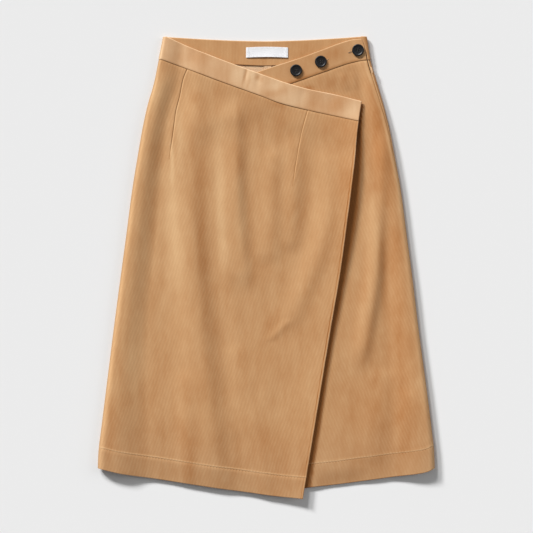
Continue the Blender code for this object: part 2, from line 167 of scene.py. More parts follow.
LEFT_SIDE = Table(
    "down   top   middle round shelf reach seam",
    (0.0, 7.2, 4.3, 5.6, 8.0, 40.0, -5.2),
    (45.0, 7.2, 4.3, 5.8, 8.0, 40.0, -4.6),
    (90.0, 8.6, 4.7, 8.0, 11.0, 41.0, -4.4),
    (145.0, 9.6, 5.0, 9.0, 13.0, 42.0, -2.6),
    (200.0, 9.9, 5.0, 10.0, 13.0, 45.0, -1.2),
    (300.0, 9.9, 5.0, 10.5, 14.0, 50.0, -0.5),
    (400.0, 9.9, 5.0, 10.8, 14.5, 53.0, -0.5),
    (500.0, 9.9, 5.0, 11.0, 15.0, 59.0, -0.5),
    (640.0, 10.4, 5.1, 11.5, 17.0, 77.0, -0.5),
    (745.0, 11.3, 5.3, 12.0, 30.0, 96.0, -0.5),
)
RIGHT_SIDE = Table(
    "down   top   middle round shelf reach seam gap",
    (0.0, 6.4, 4.1, 5.0, 6.0, 32.0, 9.6, 0.6),
    (18.0, 6.4, 4.1, 5.0, 6.0, 32.0, 5.5, 0.7),
    (40.0, 6.5, 4.1, 5.2, 7.0, 30.0, 4.8, 1.5),
    (62.0, 7.3, 4.3, 5.6, 8.0, 30.0, 5.0, 1.5),
    (70.0, 7.7, 4.4, 5.8, 9.0, 30.0, 4.9, 0.3),
    (100.0, 8.8, 4.7, 6.2, 10.0, 33.0, 4.3, 0.3),
    (145.0, 9.4, 4.9, 6.6, 11.0, 38.0, 2.6, 0.3),
    (200.0, 9.6, 5.0, 6.8, 11.0, 41.0, 1.1, 0.3),
    (280.0, 9.6, 5.0, 7.0, 12.0, 43.0, 0.2, 0.3),
    (400.0, 9.8, 5.0, 7.2, 12.0, 47.0, 0.2, 0.3),
    (520.0, 10.0, 5.0, 7.6, 12.0, 58.0, 0.2, 0.3),
    (660.0, 10.3, 5.1, 8.4, 13.0, 70.0, 0.2, 0.3),
    (745.0, 10.2, 5.2, 9.0, 14.0, 82.0, 0.2, 0.3),
)

WRAP_LIFT = Table(
    "down   lift",
    (100.0, 0.5),
    (124.0, 1.1),
    (146.0, 2.7),
    (185.0, 6.2),
    (235.0, 9.0),
    (300.0, 8.6),
    (350.0, 7.4),
    (452.0, 4.4),
    (554.0, 3.2),
    (657.0, 3.3),
    (743.0, 3.0),
    (792.0, 4.2),
)
WRAP_LIFT_WIDTH = 72.0
HEM_SINK = 1.6

# Soft folds that run down the cloth: each crest passes through three points
# and fades out at both ends.
FOLD_COLUMNS = ("layer", "x1", "down1", "x2", "down2", "x3", "down3",
                "high", "left_wide", "right_wide")
FOLDS = (
    ("over", -136, 70, -127, 330, -74, 840, 5.8, 36, 23),
    ("over", -53, 95, -51, 270, -32, 450, 4.4, 28, 14),
    ("over", -140, 560, -136, 660, -133, 790, 1.6, 18, 18),
    ("over", 10, 180, 9, 290, 6, 400, 2.2, 20, 17),
    ("over", 50, 160, 48, 270, 42, 380, 2.4, 17, 15),
    ("over", 92, 170, 104, 285, 32, 525, 2.4, 22, 18),
    ("under", 198, 150, 190, 380, 158, 590, 4.8, 18, 12),
    ("under", 205, 560, 190, 650, 176, 740, 1.2, 24, 24),
    ("over", 43, 482, 24, 502, 4, 524, 0.6, 10, 8),
    ("over", -60, 520, -52, 600, -48, 700, 0.9, 22, 20),
    ("under", 127, 62, 133, 76, 140, 94, 0.8, 5, 5),
    ("under", 146, 60, 150, 74, 152, 92, 0.6, 5, 4),
    ("under", 240, 600, 236, 660, 230, 720, 0.9, 16, 16),
)

# Painted highlights (+) and painted shade (-) along the folds, beyond what
# the folds' own shape gives by itself.
PAINTED_FOLD_COLUMNS = FOLD_COLUMNS[:7] + ("amount", "left_wide", "right_wide")
PAINTED_FOLD_SHADE = (
    ("over", -168, 80, -166, 250, -148, 500, 0.30, 15, 22),
    ("over", -86, 110, -80, 220, -70, 400, 0.30, 12, 14),
    ("over", -222, 470, -225, 620, -236, 735, 0.34, 18, 16),
    ("over", -264, 600, -264, 670, -271, 735, -0.34, 8, 8),
    ("over", 20, 640, 26, 740, 30, 840, -0.24, 50, 42),
    ("over", -133, 680, -131, 730, -134, 800, -0.34, 9, 9),
    ("over", 152, 50, 140, 240, 128, 430, -0.50, 24, 18),
    ("over", 24, 105, 22, 140, 20, 190, -0.22, 14, 14),
    ("under", 175, 560, 200, 670, 225, 780, -0.30, 45, 45),
    ("under", 196, 60, 219, 330, 241, 800, -0.62, 14, 17),
    ("under", 168, 380, 160, 460, 150, 540, -0.35, 12, 10),
    ("over", -150, 110, -148, 180, -150, 250, 0.40, 8, 10),
    ("under", 178, 55, 187, 150, 188, 290, -0.80, 14, 15),
    ("over", -163, 172, -160.5, 215, -161.5, 262, 0.90, 3.2, 3.2),
    ("over", -197, 150, -212, 366, -232, 640, 0.45, 15, 12),
    ("over", -113, 190, -112, 290, -106, 430, -0.30, 10, 9),
    ("over", -162, 210, -157, 330, -150, 450, 0.26, 17, 12),
    ("over", -84, 170, -80, 280, -70, 430, 0.45, 10, 9),
    ("over", -44, 220, -44, 300, -40, 400, 0.50, 9, 9),
    ("under", 245, 590, 254, 670, 262, 738, -0.30, 26, 30),
    ("under", 168, 300, 171, 430, 174, 560, -0.28, 8, 8),
    ("under", 203, 250, 206, 420, 210, 640, -0.28, 9, 9),
    ("under", 189, 380, 192, 450, 196, 520, 0.25, 6, 6),
    ("over", -142, 640, -140, 700, -138, 770, -0.25, 40, 34),
    ("over_band", -40, 20, -30, 70, -24, 125, 0.45, 26, 30),
    ("over_band", 25, 40, 30, 85, 34, 140, 0.45, 22, 24),
)

# Stitched dart lines of the over front: x at each depth.
DARTS = (
    Table("down x", (55.0, -134.4), (74.6, -142.3), (100.3, -147.3),
          (127.7, -154.2), (165.4, -159.3), (196.3, -163.9), (206.0, -165.8)),
    Table("down x", (124.0, 71.9), (155.1, 63.0), (177.4, 57.8),
          (211.7, 51.8), (254.0, 45.2)),
)
DART_PLACES = (0.124, 0.733)     # share of the way across the flat part
DART_REACH = (0.055, 0.10)       # how far the columns bend towards them
DART_DEEP = (0.80, 0.30)         # depth of the stitched line
DART_LIP = (0.34, 0.30)          # how far the cloth right of it stands proud

BUTTONS = {                      # name: x, down of the middle
    "button_1": (51.0, 58.8),
    "button_2": (93.3, 43.7),
    "button_3": (157.0, 24.2),
}
BUTTONHOLES = (                  # x, down of both ends of the visible slits
    ((140.4, 28.3), (148.0, 26.0)),
    ((104.2, 41.2), (106.8, 39.8)),
)


# ---------------------------------------------------------------- heights
def ease(t):
    t = np.clip(t, 0.0, 1.0)
    return t * t * (3 - 2 * t)


def larger(a, b, soft=12.0):
    return 0.5 * (a + b + np.sqrt((a - b) ** 2 + soft * soft))


def over_seam(x):
    return OVER.at("seam", (x + 184.0) / 342.0)


def under_seam(x):
    return UNDER.at("seam", (x + 105.0) / 283.0)


def drift(x, down, pitch_x, pitch_down, seed):
    """Smooth random value from -1 to 1 that changes over the given pitches."""
    grid = np.random.default_rng(seed).uniform(-1, 1, (96, 96))
    u = np.clip(x / pitch_x + 47.0, 0, 94.99)
    v = np.clip(down / pitch_down + 6.0, 0, 94.99)
    i, j = np.floor(u).astype(int), np.floor(v).astype(int)
    a, b = ease(u - i), ease(v - j)
    return ((grid[i, j] * (1 - a) + grid[i + 1, j] * a) * (1 - b)
            + (grid[i, j + 1] * (1 - a) + grid[i + 1, j + 1] * a) * b)


def streaks(rows, columns, key, x, down, layer, fade=0.6):
    total = np.zeros(np.broadcast(x, down).shape)
    for row in rows:
        fold = dict(zip(columns, row))
        if fold["layer"] != layer:
            continue
        t = (down - fold["down1"]) / (fold["down3"] - fold["down1"])
        crest = Table("down x", (fold["down1"], fold["x1"]),
                      (fold["down2"], fold["x2"]),
                      (fold["down3"], fold["x3"])).at("x", down)
        wide = np.where(x < crest, fold["left_wide"], fold["right_wide"])
        shown = (np.sin(math.pi * np.clip(t, 0, 1)) ** fade
                 * ease(np.minimum(t, 1 - t) / 0.14))
        total = total + fold[key] * shown * np.exp(-((x - crest) / wide) ** 2)
    return total


def fold_height(x, down, layer):
    return streaks(FOLDS, FOLD_COLUMNS, "high", x, down, layer)


def ripple(x, down):
    """Small unevenness that all the front layers share."""
    return (0.30 * drift(x, down, 44.0, 120.0, 11)
            + 0.13 * drift(x, down, 17.0, 38.0, 12)
            + 0.30) * ease((down - larger(over_seam(x), under_seam(x))) / 30.0)


def side_height(side, distance, down, base):
    shelf, reach = side.at("shelf", down), side.at("reach", down)
    share = ease((distance - shelf) / (reach - shelf))
    return side.at("top", down) * (1 - share) + base * share


def under_height(x, down):
    base = 4.4 - 0.9 * ease((down - under_seam(x)) / 50.0)
    distance = OUTLINE.at("right", down) - PANEL_THICK / 2 - x
    # past the hem of the back it sinks on to the surface
    past = ease((down - BACK.at("hem", (x + 288.0) / 576.0) + 18.0) / 30.0)
    sunk = HEM_SINK * past * np.exp(-((x - 132.0) / 42.0) ** 4)
    return (side_height(RIGHT_SIDE, distance, down, base)
            + fold_height(x, down, "under") + ripple(x, down) - sunk)


def over_height(x, down):
    alone = 4.4 - 0.9 * ease((down - over_seam(x)) / 50.0)
    clear = larger(over_seam(x), under_seam(x)) + 8.0
    below = 4.4 - 0.9 * ease((down - under_seam(x)) / 50.0)
    on_under = below + 3.1 - 1.1 * ease((down - clear) / 60.0)
    step = ease((x - INNER_EDGE.at("x", down) + 48.0) / 42.0)
    base = alone + (on_under - alone) * step
    distance = x - OUTLINE.at("left", down) - PANEL_THICK / 2
    height = side_height(LEFT_SIDE, distance, down, base)
    free = 1 - (WRAP_EDGE.at("x", down) - x) / WRAP_LIFT_WIDTH
    lift = WRAP_LIFT.at("lift", down) * np.maximum(free, 0.0) ** 1.7
    return height + lift + fold_height(x, down, "over") + ripple(x, down)


def side_turn(side, down, inset):
    wide = side.at("round", down)
    share = np.minimum(np.abs(inset) / wide, 1.0)
    turn = np.arccos(1 - share) / (math.pi / 2)
    turn = turn + np.maximum(np.abs(inset) - wide, 0.0) / wide
    return np.copysign(turn, inset)


def turn_step(side, down, turn, gap):
    wide = side.at("round", down)
    high = side.at("middle", down) - 0.7
    angle = np.minimum(np.abs(turn), 1.0) * math.pi / 2
    radius = np.hypot(wide * np.sin(angle), high * np.cos(angle))
    return gap / radius / (math.pi / 2)


def side_point(side, sign, edge, down, turn, thick, height):
    wide = side.at("round", down)
    middle = side.at("middle", down)
    angle = np.clip(turn, -1.0, 1.0) * math.pi / 2
    distance = wide * (1 - np.cos(angle)) + wide * np.maximum(np.abs(turn) - 1, 0.0)
    x = edge + sign * (PANEL_THICK / 2 + distance)
    top_x = edge + sign * (PANEL_THICK / 2 + wide)
    low = middle + (middle - thick / 2) * np.sin(angle)
    high = middle + (height(top_x, down) - middle) * np.sin(angle)
    z = np.where(turn <= 0, low, np.where(turn <= 1, high, height(x, down)))
    return x, z


# ---------------------------------------------------------------- grids
def rows_between(length, first, last, step):
    """Rows as (share, offset): set distances from both edges, and even ones
    between them."""
    count = max(int(round((length - first[-1] - last[-1]) / step)), 1)
    rows = [(0.0, d) for d in first]
    for k in range(1, count):
        t = k / count
        rows.append((t, first[-1] * (1 - t) - last[-1] * t))
    rows += [(1.0, -d) for d in reversed(last)]
    return np.array(rows)


def places_between(length, first, last, step, extra=()):
    """Shares of the way across, with set distances from both ends."""
    count = max(int(round((length - first[-1] - last[-1]) / step)), 1)
    places = [d / length for d in first]
    places += list(np.linspace(first[-1] / length, 1 - last[-1] / length,
                               count + 1)[1:-1])
    places += [1 - d / length for d in reversed(last)]
    for centre, offsets in extra:
        near = min(offsets) / length * 1.1, max(offsets) / length * 1.1
        places = [p for p in places
                  if not centre + near[0] < p < centre + near[1]]
        places += [centre + off / length for off in offsets]
    return np.array(sorted(places))


def arc(points, axis):
    step = np.linalg.norm(np.diff(points, axis=axis), axis=2)
    start = np.zeros_like(step[:1] if axis == 0 else step[:, :1])
    return np.concatenate([start, np.cumsum(step, axis=axis)], axis=axis)


class Grid:
    """Middle surface of a piece of cloth, with what was measured on it."""

    def __init__(self, x, down, z, **facts):
        x, down, z = np.broadcast_arrays(x, down, z)
        self.x, self.down = x.copy(), down.copy()
        self.points = np.stack([x, TOP_Y - down, z], axis=2)
        self.facts = {k: np.broadcast_to(v, x.shape).copy()
                      for k, v in facts.items()}

    def __getattr__(self, name):
        return self.facts[name]


def front(layer, part, rows, turned, places, thick):
    """A front piece, from its rolled side to its free edge."""
    table, side, sign, outline, free_edge, height = (
        (OVER, LEFT_SIDE, 1, "left", WRAP_EDGE, over_height)
        if layer == "over" else
        (UNDER, RIGHT_SIDE, -1, "right", INNER_EDGE, under_height))
    first, last = ("top", "seam") if part == "band" else ("seam", "hem")
    share, offset = rows[:, :1], rows[:, 1:]
    before = 0.03 if part == "panel" else 0.0
    after = 0.03 if part == "band" else 0.0

    def down_at(across):
        a = table.at(first, across) + before
        b = table.at(last, across) - after
        return a * (1 - share) + b * share + offset

    side_across = np.full_like(share, 0.0 if layer == "over" else 1.0)
    side_down = down_at(side_across)
    edge = OUTLINE.at(outline, side_down)
    free = free_edge.at("x", down_at(1.0 - side_across))
    inset = side.at("seam", side_down)
    gap = side.at("gap", side_down) if layer == "under" else SEAM_GAP
    turn = side_turn(side, side_down, inset)
    turn = turn + turn_step(side, side_down, turn, gap / 2)
    turns = turn + (np.maximum(1.0, turn + 0.3) - turn) * turned[None, :]
    x_side, z_side = side_point(side, sign, edge, side_down, turns, thick, height)
    start = x_side[:, -1:]
    seam_x = edge + sign * (PANEL_THICK / 2 + np.abs(inset))

    def across_at(x):
        across = np.clip((x - seam_x) / (free - seam_x), 0.0, 1.0)
        return across if layer == "over" else 1 - across

    x = start + (free - start) * places[None, :]
    dart = np.full(x.shape, 99.0)
    dart_step = np.zeros(x.shape)
    if (layer, part) == ("over", "panel"):
        for line, place, reach in zip(DARTS, DART_PLACES, DART_REACH):
            centre = start + (free - start) * place
            for _ in range(3):
                down_c = down_at(across_at(centre))
                end = line.rows[-1, 0]
                fade = 1 - ease((down_c - end) / 90.0)
                centre = (start + (free - start) * place) * (1 - fade) \
                    + line.at("x", down_c) * fade
            shift = centre - (start + (free - start) * place)
            x = x + shift * ease(1 - np.abs(places[None, :] - place) / reach)
        for line, deep, lip in zip(DARTS, DART_DEEP, DART_LIP):
            down = down_at(across_at(x))
            off = x - line.at("x", down)
            end = line.rows[-1, 0]
            live = ease((end + 4 - down) / 30.0)
            dart_step += live * (
                lip * ease((off + 0.4) / 1.8) * np.exp(-np.maximum(off, 0) / 9.0)
                - deep * np.exp(-(off / 0.9) ** 2))
            dart = np.where(down < end + 6, np.minimum(dart, np.abs(off)), dart)

    down = down_at(across_at(x))
    z = height(x, down) + dart_step
    down_side = down_at(across_at(x_side))
    grid_x = np.concatenate([x_side, x], axis=1)
    grid_down = np.concatenate([down_side, down], axis=1)
    grid_z = np.concatenate([z_side, z], axis=1)
    far = np.full(x_side.shape, 99.0)
    dart = np.concatenate([far, dart], axis=1)
    across = across_at(grid_x)
    seam = grid_down - (table.at("seam", across))
    hem = table.at("hem", across) - grid_down
    made = (grid_x, grid_down, grid_z, dart, seam, hem)
    if layer == "under":
        made = tuple(a[:, ::-1] for a in made)
    return Grid(*made[:3], dart=made[3], seam=made[4], hem=made[5])


def back(part, half, rows, turned, places, thick):
    """The back, or one half of it, from left to right."""
    first, last = ("top", "seam") if part == "band" else ("seam", "hem")
    share, offset = rows[:, :1], rows[:, 1:]
    before = 0.03 if part == "panel" else 0.0
    after = 0.03 if part == "band" else 0.0

    def down_at(across):
        a = BACK.at(first, across) + before
        b = BACK.at(last, across) - after
        return a * (1 - share) + b * share + offset

    ends = {}
    for name, side, sign, across in (("left", LEFT_SIDE, 1, 0.0),
                                     ("right", RIGHT_SIDE, -1, 1.0)):
        side_down = down_at(np.full_like(share, across))
        edge = OUTLINE.at(name, side_down)
        gap = side.at("gap", side_down) if name == "right" else SEAM_GAP
        inset = side.at("seam", side_down)
        turn = side_turn(side, side_down, inset)
        turn = turn - turn_step(side, side_down, turn, gap / 2)
        turns = -1 + (turn + 1) * turned[None, :]
        height = over_height if name == "left" else under_height
        ends[name] = side_point(side, sign, edge, side_down, turns, thick, height)
        ends[name + "_seam"] = edge + sign * (PANEL_THICK / 2 + np.abs(inset))

    (xl, zl), (xr, zr) = ends["left"], ends["right"]
    if half == "whole":
        x = xl[:, :1] + (xr[:, :1] - xl[:, :1]) * places[None, :]
        parts = [(xl[:, ::-1], zl[:, ::-1]), (x, None), (xr, zr)]
    elif half == "left":
        x = xl[:, :1] + (CENTRE_BACK - SEAM_GAP / 2 - xl[:, :1]) * places[None, :]
        parts = [(xl[:, ::-1], zl[:, ::-1]), (x, None)]
    else:
        x = xr[:, :1] + (CENTRE_BACK + SEAM_GAP / 2 - xr[:, :1]) * places[None, :]
        parts = [(x[:, ::-1], None), (xr, zr)]
    left, right = ends["left_seam"], ends["right_seam"]
    xs, zs = [], []
    for px, pz in parts:
        if pz is None:
            across = np.clip((px - left) / (right - left), 0, 1)
            pz = thick / 2 + crease_height(px, down_at(across)) * (part == "panel")
        xs.append(px)
        zs.append(pz)
    x, z = np.concatenate(xs, axis=1), np.concatenate(zs, axis=1)
    across = np.clip((x - left) / (right - left), 0.0, 1.0)
    down = down_at(across)
    return Grid(x, down, z, dart=99.0, seam=down - BACK.at("seam", across),
                hem=BACK.at("hem", across) - down)


# Soft hollows in the back, where it lies a little off the surface.
CREASES = (
    ("back", -150, 160, -158, 380, -176, 640, 0.8, 22, 17),
    ("back", -84, 90, -76, 250, -92, 470, 0.7, 15, 20),
    ("back", -40, 330, -46, 520, -60, 720, 0.6, 18, 14),
    ("back", 58, 100, 66, 300, 60, 560, 0.7, 19, 15),
    ("back", 128, 180, 140, 420, 172, 690, 0.8, 16, 22),
    ("back", 100, 480, 92, 600, 96, 730, 0.5, 14, 14),
)


def crease_height(x, down):
    flat = ease((TOP_Y + 330 - down) / 60.0)
    near = ease((np.abs(x - CENTRE_BACK) - 4.0) / 14.0)
    return streaks(CREASES, FOLD_COLUMNS, "high", x, down, "back") * flat * near


# ---------------------------------------------------------------- shells
def shell(name, grid, thick, outward, round_edges, materials, outer_add=0.0,
          inner_add=0.0, inner_face=None, nap_and_shade=None, folded=(),
          seamed=(), sewn_to=()):
    """A closed wall of cloth round a grid, thinning to rounded edges.
    round_edges gives the radius at the first and last row and column, and
    folded names those of the four at which the cloth is folded over, seamed
    (where the line shows) and sewn_to those at which it is sewn."""
    points = grid.points
    count_r, count_c = points.shape[:2]
    along, around = arc(points, 0), arc(points, 1)
    away = (along, along[-1:] - along, around, around[:, -1:] - around)
    full, shown = np.ones((count_r, count_c)), np.ones((count_r, count_c))
    for k, (distance, radius) in enumerate(zip(away, round_edges)):
        edge = np.sqrt(np.clip(
            1 - (1 - np.minimum(distance / radius, 1.0)) ** 2, 0, 1))
        full = np.minimum(full, edge)
        # a sewn border stays near the face, so that its crease is shallow
        floor = 0.86 if thick < 2 else 0.50
        shown = np.minimum(shown, floor + (1 - floor) * edge if k in sewn_to else edge)
    normal = np.cross(np.gradient(points, axis=0), np.gradient(points, axis=1))
    normal *= outward / np.linalg.norm(normal, axis=2, keepdims=True)
    outer = points + normal * ((thick / 2 + outer_add) * shown)[..., None]
    inner = points - normal * ((thick / 2 + inner_add) * full)[..., None]

    index = np.arange(count_r * count_c).reshape(count_r, count_c)
    inside = index.copy()
    inside[1:-1, 1:-1] = (count_r * count_c
                          + np.arange((count_r - 2) * (count_c - 2))
                          .reshape(count_r - 2, count_c - 2))
    verts = np.concatenate([outer.reshape(-1, 3),
                            inner[1:-1, 1:-1].reshape(-1, 3)])
    # The position of every vertex on an unstretched map, for the bake.
    u = around.mean(axis=0) / around.mean(axis=0)[-1]
    v = 1 - along.mean(axis=1) / along.mean(axis=1)[-1]
    place = np.stack(np.broadcast_arrays(u[None, :], v[:, None]), axis=2)

    def quads(ids):
        return np.stack([ids[:-1, :-1], ids[1:, :-1], ids[1:, 1:],
                         ids[:-1, 1:]], axis=2).reshape(-1, 4)

    def corners(low, high):
        at = place * (high - low, 0.99) + (low, 0.005)
        return np.stack([at[:-1, :-1], at[1:, :-1], at[1:, 1:],
                         at[:-1, 1:]], axis=2).reshape(-1, 4, 2)

    top, bottom = quads(index), quads(inside)[:, ::-1]
    top_uv, bottom_uv = corners(0.005, 0.70), corners(0.715, 0.995)[:, ::-1]
    if outward < 0:
        top, bottom = top[:, ::-1], bottom[:, ::-1]
        top_uv, bottom_uv = top_uv[:, ::-1], bottom_uv[:, ::-1]
    faces = np.concatenate([top, bottom])
    uvs = np.concatenate([top_uv, bottom_uv])

    mesh = bpy.data.meshes.new(name)
    mesh.from_pydata((verts * MM).tolist(), [], faces.tolist())
    mesh.uv_layers.new(name="OFBake").data.foreach_set("uv", uvs.ravel())
    for material in materials:
        mesh.materials.append(material)
    if len(materials) > 1:
        second = (np.ones((count_r - 1, count_c - 1)) if inner_face is None
                  else inner_face[:-1, :-1])
        which = np.concatenate([np.zeros(len(top)), second.ravel()])
        mesh.polygons.foreach_set("material_index", which.astype(np.int32))
    mesh.shade_smooth()

    ref = int(np.argmin(np.abs(grid.x[count_r // 2] + 20)))
    flat = np.stack([grid.x[:, ref:ref + 1] + around - around[:, ref:ref + 1],
                     grid.down, np.zeros_like(grid.x)], axis=2)
    # painted light and shade, with patches where the pile lies the other way
    nap_and_shade = np.zeros((count_r, count_c)) if nap_and_shade is None else nap_and_shade
    sewn = np.minimum(np.abs(grid.seam), grid.dart)
    for which_edge in seamed:
        sewn = np.minimum(sewn, away[which_edge] * 0.35 + 0.1)
    edge = np.full((count_r, count_c), 99.0)
    for which_edge in folded:
        edge = np.minimum(edge, away[which_edge])
    lip = away[3] if name.startswith("front_over") else np.full_like(edge, 99.0)
    for label, values in (("flat", flat), ("nap_and_shade", nap_and_shade), ("sewn", sewn),
                          ("hem", grid.hem), ("edge", edge), ("lip", lip)):
        both = np.concatenate([values.reshape(count_r * count_c, -1),
                               values[1:-1, 1:-1].reshape(
                                   (count_r - 2) * (count_c - 2), -1)])
        if label == "flat":
            layer = mesh.attributes.new(label, "FLOAT_VECTOR", "POINT")
            layer.data.foreach_set("vector", both.ravel())
        else:
            layer = mesh.attributes.new(label, "FLOAT", "POINT")
            layer.data.foreach_set("value", both.ravel())
    mesh.update()
    obj = bpy.data.objects.new(name, mesh)
    bpy.context.scene.collection.objects.link(obj)
    a = points[:-1, :-1], points[1:, :-1], points[1:, 1:], points[:-1, 1:]
    area = 0.5 * (np.linalg.norm(np.cross(a[1] - a[0], a[2] - a[0]), axis=2)
                  + np.linalg.norm(np.cross(a[2] - a[0], a[3] - a[0]), axis=2))
    obj["cut_width"] = float(around[:, -1].max() * MM)
    obj["cut_length"] = float(along[-1].max() * MM)
    obj["cut_area"] = float(area.sum() * MM * MM)
    return obj


def settle(obj, node=None):
    """Rides on the one body and stands for its node."""
    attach(obj, "root")
    if node:
        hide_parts(node)


# ---------------------------------------------------------------- materials
class Shader:
    """A material's nodes, made and linked by short calls."""

    def __init__(self, name):
        self.material = bpy.data.materials.new(name)
        self.material.use_nodes = True
        self.tree = self.material.node_tree
        self.surface = self.tree.nodes["Principled BSDF"]

    def node(self, kind, values=(), **props):
        made = self.tree.nodes.new("ShaderNode" + kind)
        for key, value in props.items():
            setattr(made, key, value)
        for key, value in dict(values).items():
            self.put(made.inputs[key], value)
        return made

    def put(self, socket, value):
        if isinstance(value, bpy.types.NodeSocket):
            self.tree.links.new(value, socket)
        else:
            socket.default_value = value

    def math(self, operation, *values, clamp=False):
        made = self.node("Math", operation=operation, use_clamp=clamp)
        for socket, value in zip(made.inputs, values):
            self.put(socket, value)
        return made.outputs[0]

    def total(self, *values):
        out = values[0]
        for value in values[1:]:
            out = self.math("ADD", out, value)
        return out

    def times(self, a, b):
        return self.math("MULTIPLY", a, b)

    def read(self, name, output="Fac"):
        return self.node("Attribute", attribute_name=name).outputs[output]

    def dot(self, vector, direction):
        made = self.node("VectorMath", operation="DOT_PRODUCT")
        self.put(made.inputs[0], vector)
        made.inputs[1].default_value = direction
        return made.outputs["Value"]

    def stretch(self, vector, scale, spin=0.0):
        made = self.node("Mapping", {"Vector": vector, "Scale": scale,
                                     "Rotation": (0, 0, spin)})
        return made.outputs[0]

    def noise(self, vector, scale, detail=2.0, rough=0.5):
        """Noise about zero, from -0.5 to 0.5."""
        made = self.node("TexNoise", {"Vector": vector, "Scale": scale,
                                      "Detail": detail, "Roughness": rough})
        return self.math("SUBTRACT", made.outputs["Fac"], 0.5)

    def band(self, value, low, high, soft):
        """1 where the value is between low and high, with soft ends."""
        up = self.node("MapRange", {"Value": value, 1: low - soft, 2: low + soft,
                                    3: 0.0, 4: 1.0}, interpolation_type="SMOOTHSTEP")
        down = self.node("MapRange", {"Value": value, 1: high - soft, 2: high + soft,
                                      3: 1.0, 4: 0.0}, interpolation_type="SMOOTHSTEP")
        return self.times(up.outputs[0], down.outputs[0])

    def mix(self, share, a, b):
        made = self.node("Mix", data_type="RGBA")
        self.put(made.inputs[0], share)
        self.put(made.inputs[6], a)
        self.put(made.inputs[7], b)
        return made.outputs[2]

    def tint(self, share, a, by):
        """The tone a, multiplied by a colour as far as the share says."""
        made = self.node("Mix", data_type="RGBA", blend_type="MULTIPLY")
        self.put(made.inputs[0], share)
        self.put(made.inputs[6], a)
        self.put(made.inputs[7], (*by, 1.0))
        return made.outputs[2]

    def set(self, **values):
        for key, value in values.items():
            self.put(self.surface.inputs[key.replace("_", " ")], value)


def rgb(colour):
    return (*colour, 1.0)


